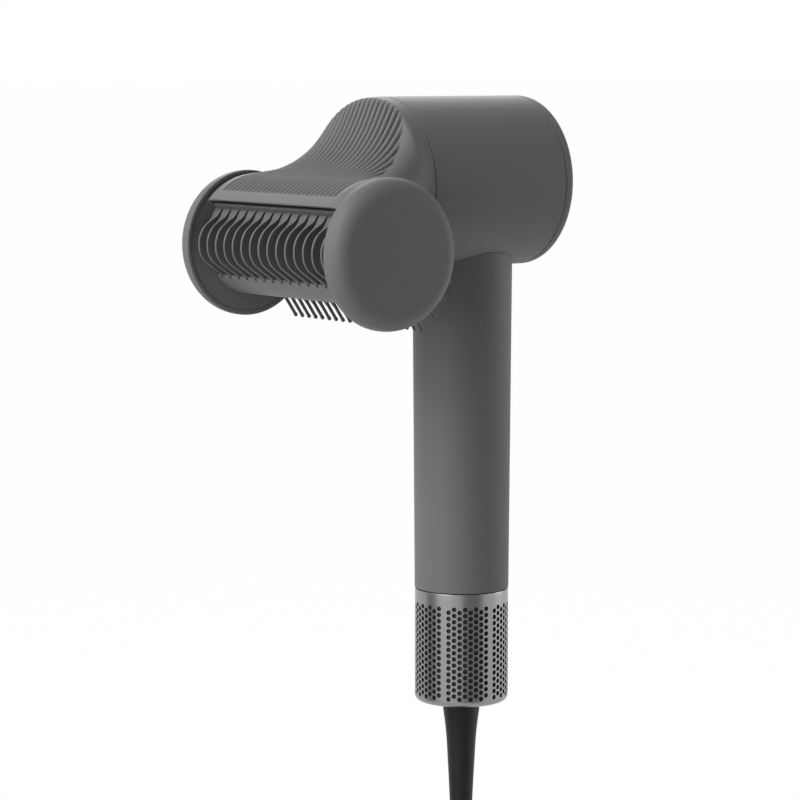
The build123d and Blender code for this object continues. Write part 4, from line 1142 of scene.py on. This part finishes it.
# %% Plate, rail and back wall
COMB_HALF = 45.7
TOOTH_PITCH = 6.1
TEETH = 15
PAD_WIDTH = TOOTH_PITCH - 1.0
RAIL_START, RAIL_END = 39.6, 42.6
RAIL_RADIUS = 25.6
WALL_FOOT, WALL_TOP = -46.0, 33.0
comb = bmesh.new()
for inner, outer, start, end, half, steps in (
    (21.0, 21.9, 42.0, 94.2, 43.2, 40),
    (20.1, 21.0, 28.4, 44.0, COMB_HALF - 2.0, 12),
    (15.8, 17.6, WALL_FOOT, WALL_TOP, COMB_HALF, 48),
    (15.8, 18.75, WALL_FOOT, -43.8, COMB_HALF, 2),
    (15.8, 21.0, 28.4, WALL_TOP, COMB_HALF, 4),
):
    band(comb, inner, outer, start, end, -half, half, steps)
rail = band(comb, 20.1, RAIL_RADIUS, RAIL_START, RAIL_END, -43.6, 43.6, 3)
softened(comb, rail, 0.25)
moved_by(comb, TO_BARREL)
same_side(comb)
publish(comb, "comb_plate", "nozzle", comb_plastic, ["comb_insert"])

# %% [markdown]
# ## Teeth
#
# Each tooth is a thin fin that grows out of a wider pad under the rail in a soft S, stands
# straight in front and tucks into a notch of the lower shell. Narrow dark slits part the pads.
# A tooth's front edge is rounded and catches the light, while its flanks stay dark. The side
# view is drawn as one rounded path, extruded back to a face and then sideways to a fin, whose
# root is spread to the pad afterwards.

# %% One tooth
TOOTH = 1.05
TOOTH_BACK = 17.65
SPREAD_START, SPREAD_LENGTH = 1.6, 7.4
fin = bmesh.new()
distance = fin.verts.layers.float.new("distance")
front = fin.verts.layers.int.new("front")
corners = [round_barrel(23.0, angle) for angle in (42.6, 39.7, 36.8, 33.9, 31.0)]
corners += [Vector((0, -27.5, 5.6)) * MM, Vector((0, -27.4, -4.8)) * MM]
corners.append(round_barrel(20.6, -37.5))
path = [fin.verts.new(corner) for corner in corners]
for pair in zip(path, path[1:]):
    fin.edges.new(pair)
for corner, size in ((path[4], 1.3), (path[5], 4.4), (path[6], 4.2)):
    round_off(fin, [corner], size, 9, "VERTICES")
long_edges = [edge for edge in fin.edges if edge.calc_length() > 1.2 * MM]
for edge in long_edges:
    parts = math.ceil(edge.calc_length() / (0.8 * MM))
    bmesh.ops.subdivide_edges(fin, edges=[edge], cuts=parts - 1)
start = max((vert for vert in fin.verts if len(vert.link_edges) == 1), key=lambda v: v.co.z)
here, before, walked = start, None, 0.0
while here:
    here[distance] = walked
    here[front] = 1
    onward = [edge.other_vert(here) for edge in here.link_edges if edge.other_vert(here) != before]
    if onward:
        walked += (onward[0].co - here.co).length / MM
    before, here = here, onward[0] if onward else None
print("Length of the tooth's front, mm:", round(walked, 1))

# %% From the path to a fin
for vert in points_of(bmesh.ops.extrude_edge_only(fin, edges=fin.edges[:])):
    vert[front] = 0
    vert.co *= TOOTH_BACK * MM / math.hypot(vert.co.y, vert.co.z)
shifted(fin, (-TOOTH / 2 * MM, 0, 0))
thickened(fin, fin.faces[:], (TOOTH * MM, 0, 0))
same_side(fin)
for vert in fin.verts:
    if vert[front]:
        narrowed = eased((vert[distance] - SPREAD_START) / SPREAD_LENGTH)
        half = PAD_WIDTH / 2 + (TOOTH / 2 - PAD_WIDTH / 2) * narrowed
        vert.co.x = math.copysign(half * MM, vert.co.x)
edges_front = [
    edge
    for edge in fin.edges
    if all(vert[front] for vert in edge.verts) and edge.verts[0].co.x * edge.verts[1].co.x > 0
]
round_off(fin, edges_front, 0.34, 3)
moved_by(fin, TO_BARREL)
fin_mesh = as_mesh(fin, "fin")
print("Faces in a tooth:", len(fin_mesh.polygons))


# %% All teeth
def repeated(mesh, places):
    """One form with copies of a mesh moved to places in mm."""
    form = bmesh.new()
    for place in places:
        before = len(form.verts)
        form.from_mesh(mesh)
        form.verts.ensure_lookup_table()
        bmesh.ops.translate(form, verts=form.verts[before:], vec=Vector(place) * MM)
    return form


tooth_places = [((tooth - (TEETH - 1) / 2) * TOOTH_PITCH, 0, 0) for tooth in range(TEETH)]
teeth = repeated(fin_mesh, tooth_places)
publish(teeth, "comb_fins", "nozzle", comb_plastic, ["comb_teeth"])

# %% [markdown]
# ## Lower shell
#
# The lower half of the barrel is a half-round shell with a notch for each tooth and a long
# slot for each row of bristles. It starts as a thin curved sheet. The sheet is cut along the
# notches and slots, the faces inside them are deleted, and the wall comes last, so that every
# opening gets clean sides. Along the front edge the wall thins out behind the teeth.

# %% Curved sheet with its cuts
LOWER_FRONT, LOWER_REAR = -37.5, -166.0
NOTCH = 3.5
LOWER_WALL, FRONT_WALL, FRONT_TAPER = 2.0, 0.7, 3.0
ROW_ANGLES = (-124.0, -136.0, -148.0, -160.0)
STRIP_HALF = math.degrees(0.85 / LOWER_RADIUS)
STRIP_LENGTH = 88.7
skin = bmesh.new()
first = skin.verts.new(round_barrel(LOWER_RADIUS, LOWER_FRONT))
spun(skin, [first], AXIS_X, math.radians(LOWER_FRONT - LOWER_REAR), 60)
shifted(skin, (-BARREL_HALF * MM, 0, 0))
far_side = points_of(bmesh.ops.extrude_edge_only(skin, edges=skin.edges[:]))
bmesh.ops.translate(skin, verts=far_side, vec=(2 * BARREL_HALF * MM, 0, 0))


def sliced(form, place, direction):
    """Cuts all faces along a plane."""
    bmesh.ops.bisect_plane(
        form,
        geom=whole(form),
        dist=0.001 * MM,
        plane_co=place,
        plane_no=direction,
    )


def angle_cut(form, angle):
    """Cuts all faces at an angle round the barrel."""
    turn = math.radians(angle)
    sliced(form, (0, 0, 0), (0, math.sin(turn), math.cos(turn)))


notch_half = TOOTH / 2 + 0.2
angle_cut(skin, LOWER_FRONT - NOTCH)
for angle in ROW_ANGLES:
    angle_cut(skin, angle - STRIP_HALF)
    angle_cut(skin, angle + STRIP_HALF)
for place, _, _ in tooth_places:
    for side in (-notch_half, notch_half):
        sliced(skin, ((place + side) * MM, 0, 0), AXIS_X)
for side in (-1, 1):
    sliced(skin, (side * (STRIP_LENGTH / 2 + 0.05) * MM, 0, 0), AXIS_X)
print("Faces in the cut sheet:", len(skin.faces))

# %% Openings and wall
opened = []
for face in skin.faces:
    middle = face.calc_center_median() / MM
    angle = math.degrees(math.atan2(middle.z, -middle.y))
    in_notch = any(abs(middle.x - place) < notch_half for place, _, _ in tooth_places)
    in_row = any(abs(angle - row) < STRIP_HALF for row in ROW_ANGLES)
    if (in_notch and angle > LOWER_FRONT - NOTCH) or (in_row and abs(middle.x) < STRIP_LENGTH / 2):
        opened.append(face)
bmesh.ops.delete(skin, geom=opened, context="FACES")
looking_out(skin, (0, 1, 1))
moved_by(skin, TO_BARREL)
print("Openings:", len(opened), "faces")
skin_points = len(skin.verts)
lower = walled(skin, LOWER_WALL)
lower.verts.ensure_lookup_table()
thin = FRONT_WALL / LOWER_WALL
for outer, inner in zip(lower.verts[:skin_points], lower.verts[skin_points:]):
    angle = from_barrel(in_head(outer))[1] - math.radians(LOWER_FRONT)
    if abs(angle) < math.radians(20):
        share = thin + (1 - thin) * eased(-angle * LOWER_RADIUS / FRONT_TAPER)
        inner.co = outer.co.lerp(inner.co, share)
publish(lower, "lower_barrel_shell", "nozzle", soft_touch, ["lower_shell"])

# %% [markdown]
# ## Bristles
#
# Four rows of nylon pins stand out of the lower shell, each with a small ball on its tip that
# is kind to the scalp. Each row is moulded with its strip. A pin is repeated many times, so it
# has only a few faces: its outline is turned in ten steps.

# %% Pins
BRISTLES = 19
BRISTLE_PITCH = 4.8
BRISTLE_TIP = 37.5
pin = turned(
    [(0, 18.0), (0.78, 18.0), (0.66, BRISTLE_TIP - 1.9), (0.84, BRISTLE_TIP - 1.0)]
    + [(0.72, BRISTLE_TIP - 0.35), (0.36, BRISTLE_TIP - 0.05), (0, BRISTLE_TIP)],
    steps=10,
    closed=False,
)
pin_mesh = as_mesh(pin, "pin")
brush = bmesh.new()
row_places = [((place - (BRISTLES - 1) / 2) * BRISTLE_PITCH, 0, 0) for place in range(BRISTLES)]
for angle in ROW_ANGLES:
    row = repeated(pin_mesh, row_places)
    block(row, (STRIP_LENGTH, 1.6, 2.1), (0, 0, 19.75 * MM))
    moved_by(row, TO_BARREL @ Matrix.Rotation(math.radians(90 - angle), 4, "X"))
    joined(brush, row)
same_side(brush)
publish(brush, "bristle_pins", "nozzle", pin_nylon, ["bristle_rows"])

# %% [markdown]
# ## End discs
#
# A soft cushion-shaped disc closes each end of the barrel. It is turned about the barrel's
# axis, with a big rounding outside and a raised rim round its inner face. The left disc is the
# right one mirrored, and mirroring turns faces inside out, so the normals are recalculated.

# %% Two discs
DISC_RADIUS, DISC_RIM, DISC_FACE = 29.8, 47.2, 56.9
for side, name in ((1, "disc_right"), (-1, "disc_left")):
    disc = turned(
        [(0, 42.3), (15.6, 42.3), (15.6, 46.7), (27.9, 47.6), (28.1, DISC_RIM)]
        + [(DISC_RADIUS, DISC_RIM), (DISC_RADIUS, 56.4), (15.0, 56.85), (0, DISC_FACE)],
        rounded=[(3, 0.2, 2), (4, 0.15, 2), (5, 0.6, 4), (6, 7.0, 16), (7, 6.0, 4)],
        steps=192,
        closed=False,
    )
    moved_by(disc, Matrix.Rotation(math.pi / 2, 4, "Y"))
    bmesh.ops.scale(disc, vec=(side, 1, 1), verts=disc.verts[:])
    moved_by(disc, TO_BARREL)
    same_side(disc)
    publish(disc, "cushion_" + name, "nozzle", soft_touch, ["side_" + name])

# %% [markdown]
# ## Controls on the back
#
# A slim panel is let into the back of the grip. It holds a slider for power and two dished
# buttons for heat and speed, with three light guides between them. The panel is flat, so its
# outline and its openings are drawn as closed loops, filled once and extruded, which always
# gives a closed body. A Boolean would have to cut six openings out of one face.

# %% Panel
PLATE_DEPTH = 3.9
BUTTON_HOLE, GUIDE_HOLE, GUIDE_PITCH = 4.6, 0.85, 3.2
SLOT_WIDTH, SLOT_LENGTH = 6.4, 11.4
SLIDER_TRAVEL = 5.0
slider_low, slider_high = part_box("power_slider")
guide_low, guide_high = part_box("indicator_lenses")
plate = bmesh.new()


def outlined(radius, height, stretch=0.0, across=0.0, segments=48):
    """Draws a circle in the panel's plane, or a rounded bar where it is stretched."""
    made = bmesh.ops.create_circle(plate, cap_ends=False, segments=segments, radius=radius * MM)
    verts = made["verts"]
    bmesh.ops.rotate(plate, verts=verts, matrix=Matrix.Rotation(math.pi / segments, 3, "Z"))
    for vert in verts:
        vert.co.y += math.copysign(stretch * MM, vert.co.y)
    bmesh.ops.translate(plate, verts=verts, vec=(across * MM, height * MM, 0))
    return verts


outlined(PANEL[0] / 2 - 0.02, PANEL_HEIGHT, stretch=(PANEL[1] - PANEL[0]) / 2)
for name in ("heat_button", "speed_button"):
    low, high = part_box(name)
    outlined(BUTTON_HOLE, (low.z + high.z) / 2 / MM)
for place in (-GUIDE_PITCH, 0.0, GUIDE_PITCH):
    outlined(GUIDE_HOLE, (guide_low.z + guide_high.z) / 2 / MM, across=place, segments=24)
slot = outlined(math.sqrt(0.5), 0.0, segments=4)
bmesh.ops.scale(plate, verts=slot, vec=(SLOT_WIDTH, SLOT_LENGTH, 1))
slot_height = (slider_low.z + slider_high.z) / 2 + SLIDER_TRAVEL / 2 * MM
bmesh.ops.translate(plate, verts=slot, vec=(0, slot_height, 0))
bmesh.ops.triangle_fill(plate, use_beauty=True, use_dissolve=False, edges=plate.edges[:])
thickened(plate, plate.faces[:], (0, 0, PLATE_DEPTH * MM))
moved_by(
    plate, Matrix.Translation((0, PANEL_FACE * MM, 0)) @ Matrix.Rotation(math.pi / 2, 4, "X")
)
same_side(plate)
softened(plate, [vert for vert in plate.verts if vert.co.y > (PANEL_FACE - 0.01) * MM], 0.22)
publish(plate, "back_panel", "dryer", satin_panel, ["control_plate"])

# %% Buttons
along_back = Matrix.Rotation(-math.pi / 2, 4, "X")
for body in ("heat", "speed"):
    low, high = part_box(body + "_button")
    foot, top = low.y / MM, high.y / MM
    key = turned(
        [(0, foot), (5.3, foot), (5.3, foot + 0.9), (4.4, foot + 0.9), (4.4, top)]
        + [(3.7, top), (2.4, top - 0.22), (0, top - 0.4)],
        rounded=[(4, 0.33, 4), (6, 1.0, 4)],
        steps=64,
        closed=False,
    )
    moved_by(key, along_back)
    shifted(key, (0, 0, (low.z + high.z) / 2))
    publish(key, body + "_key", body, satin_panel, [body + "_button"])

# %% Slider
PAD = (9.0, 1.8, 12.0)
STEM = 6.0
FOOT = (7.8, 0.9, 12.0)
FLOOR_OF_PAD = 1.0
slider = bmesh.new()
block(slider, PAD)
round_off(slider, edges_along(slider, 1, 1.0), 1.5, 5)
shifted(slider, (0, slider_high.y - PAD[1] / 2 * MM, 0))
face = [vert for vert in slider.verts if abs(vert.co.y - slider_high.y) < 0.01 * MM]
softened(slider, face, 0.4, 3)
grooves = []
for place in (-3.6, -1.2, 1.2, 3.6):
    groove = bmesh.new()
    block(groove, (6.0, 1.2, 0.8), (0, slider_high.y, place * MM))
    grooves.append(groove)
slider = cut_out(slider, grooves)
stem_end = slider_high.y - FLOOR_OF_PAD * MM
stem = (STEM, (stem_end - slider_low.y) / MM, STEM)
block(slider, stem, (0, (stem_end + slider_low.y) / 2, 0))
block(slider, FOOT, (0, slider_low.y + FOOT[1] / 2 * MM, 0))
shifted(slider, (0, 0, (slider_low.z + slider_high.z) / 2))
publish(slider, "power_slide_pad", "switch", satin_panel, ["power_slider"])

# %% [markdown]
# ## Parts inside
#
# The parts behind the covers show through the air slot, the cage and the outlet. Their CAD
# shapes are right already, so they keep them and only get their materials: mica plates with a
# resistance wire, moulded nylon frames, pressed steel, turned aluminium and enamelled copper.

# %% Finishes of the inner parts
black_nylon = finish("glass_filled_black_nylon", ("#1f1f20", "#292a2b"), 0.8, 0.55, relief=0.03)
mica = finish("pressed_mica_sheet", ("#9c8c6c", "#b5a684"), 1.6, 0.38, relief=0.03)
wire = finish("rolled_resistance_wire", ("#77736d", "#86817a"), 0.4, 0.35, metallic=1.0)
rolled_steel = finish("pressed_zinc_plated_steel", ("#94979a", "#a2a5a8"), 0.5, 0.3, metallic=1.0)
turned_metal = finish("turned_aluminium", ("#a9abad", "#b6b8ba"), 0.4, 0.26, metallic=1.0)
copper = finish("enamelled_copper_wire", ("#8a4a22", "#9d5a2c"), 0.4, 0.3, metallic=1.0)
laminate = finish("green_glass_laminate", ("#17452b", "#1e5233"), 0.6, 0.35, relief=0.01)
silicone = finish("moulded_silicone_rubber", ("#2e2e30", "#38383a"), 0.9, 0.7, relief=0.03)
light_guide = finish("frosted_polycarbonate", ("#c4ccd2", "#d2d9de"), 0.3, 0.22)

# %% Each inner part with its finish
inner_parts = {
    black_nylon: ("outlet_seat", "outlet_grille", "air_guide", "inner_chassis", "motor_shroud")
    + ("tail_frame", "coupling_ring", "board_parts", "ion_emitter", "motor_bridge"),
    mica: ("heater_frame", "heater_sleeve"),
    wire: ("heater_windings",),
    rolled_steel: ("thermal_cutout", "motor_stator", "motor_shaft", "motor_bearings")
    + ("tail_screws", "nozzle_magnets", "rotor_magnet"),
    turned_metal: ("motor_frame", "impeller"),
    copper: ("stator_windings",),
    laminate: ("control_board",),
    silicone: ("motor_mounts",),
    light_guide: ("indicator_lenses",),
    black_mesh: ("filter_screen",),
}
for material, nodes in inner_parts.items():
    for node in nodes:
        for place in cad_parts[node].material_slots:
            place.material = material
    print(material.name, "on", len(nodes), "parts")

# %% [markdown]
# ## Closing
#
# The colours are shown with the Standard view transform. The dressed model has to stay inside
# the CAD's own box.

# %% View transform
bpy.context.scene.view_settings.view_transform = "Standard"
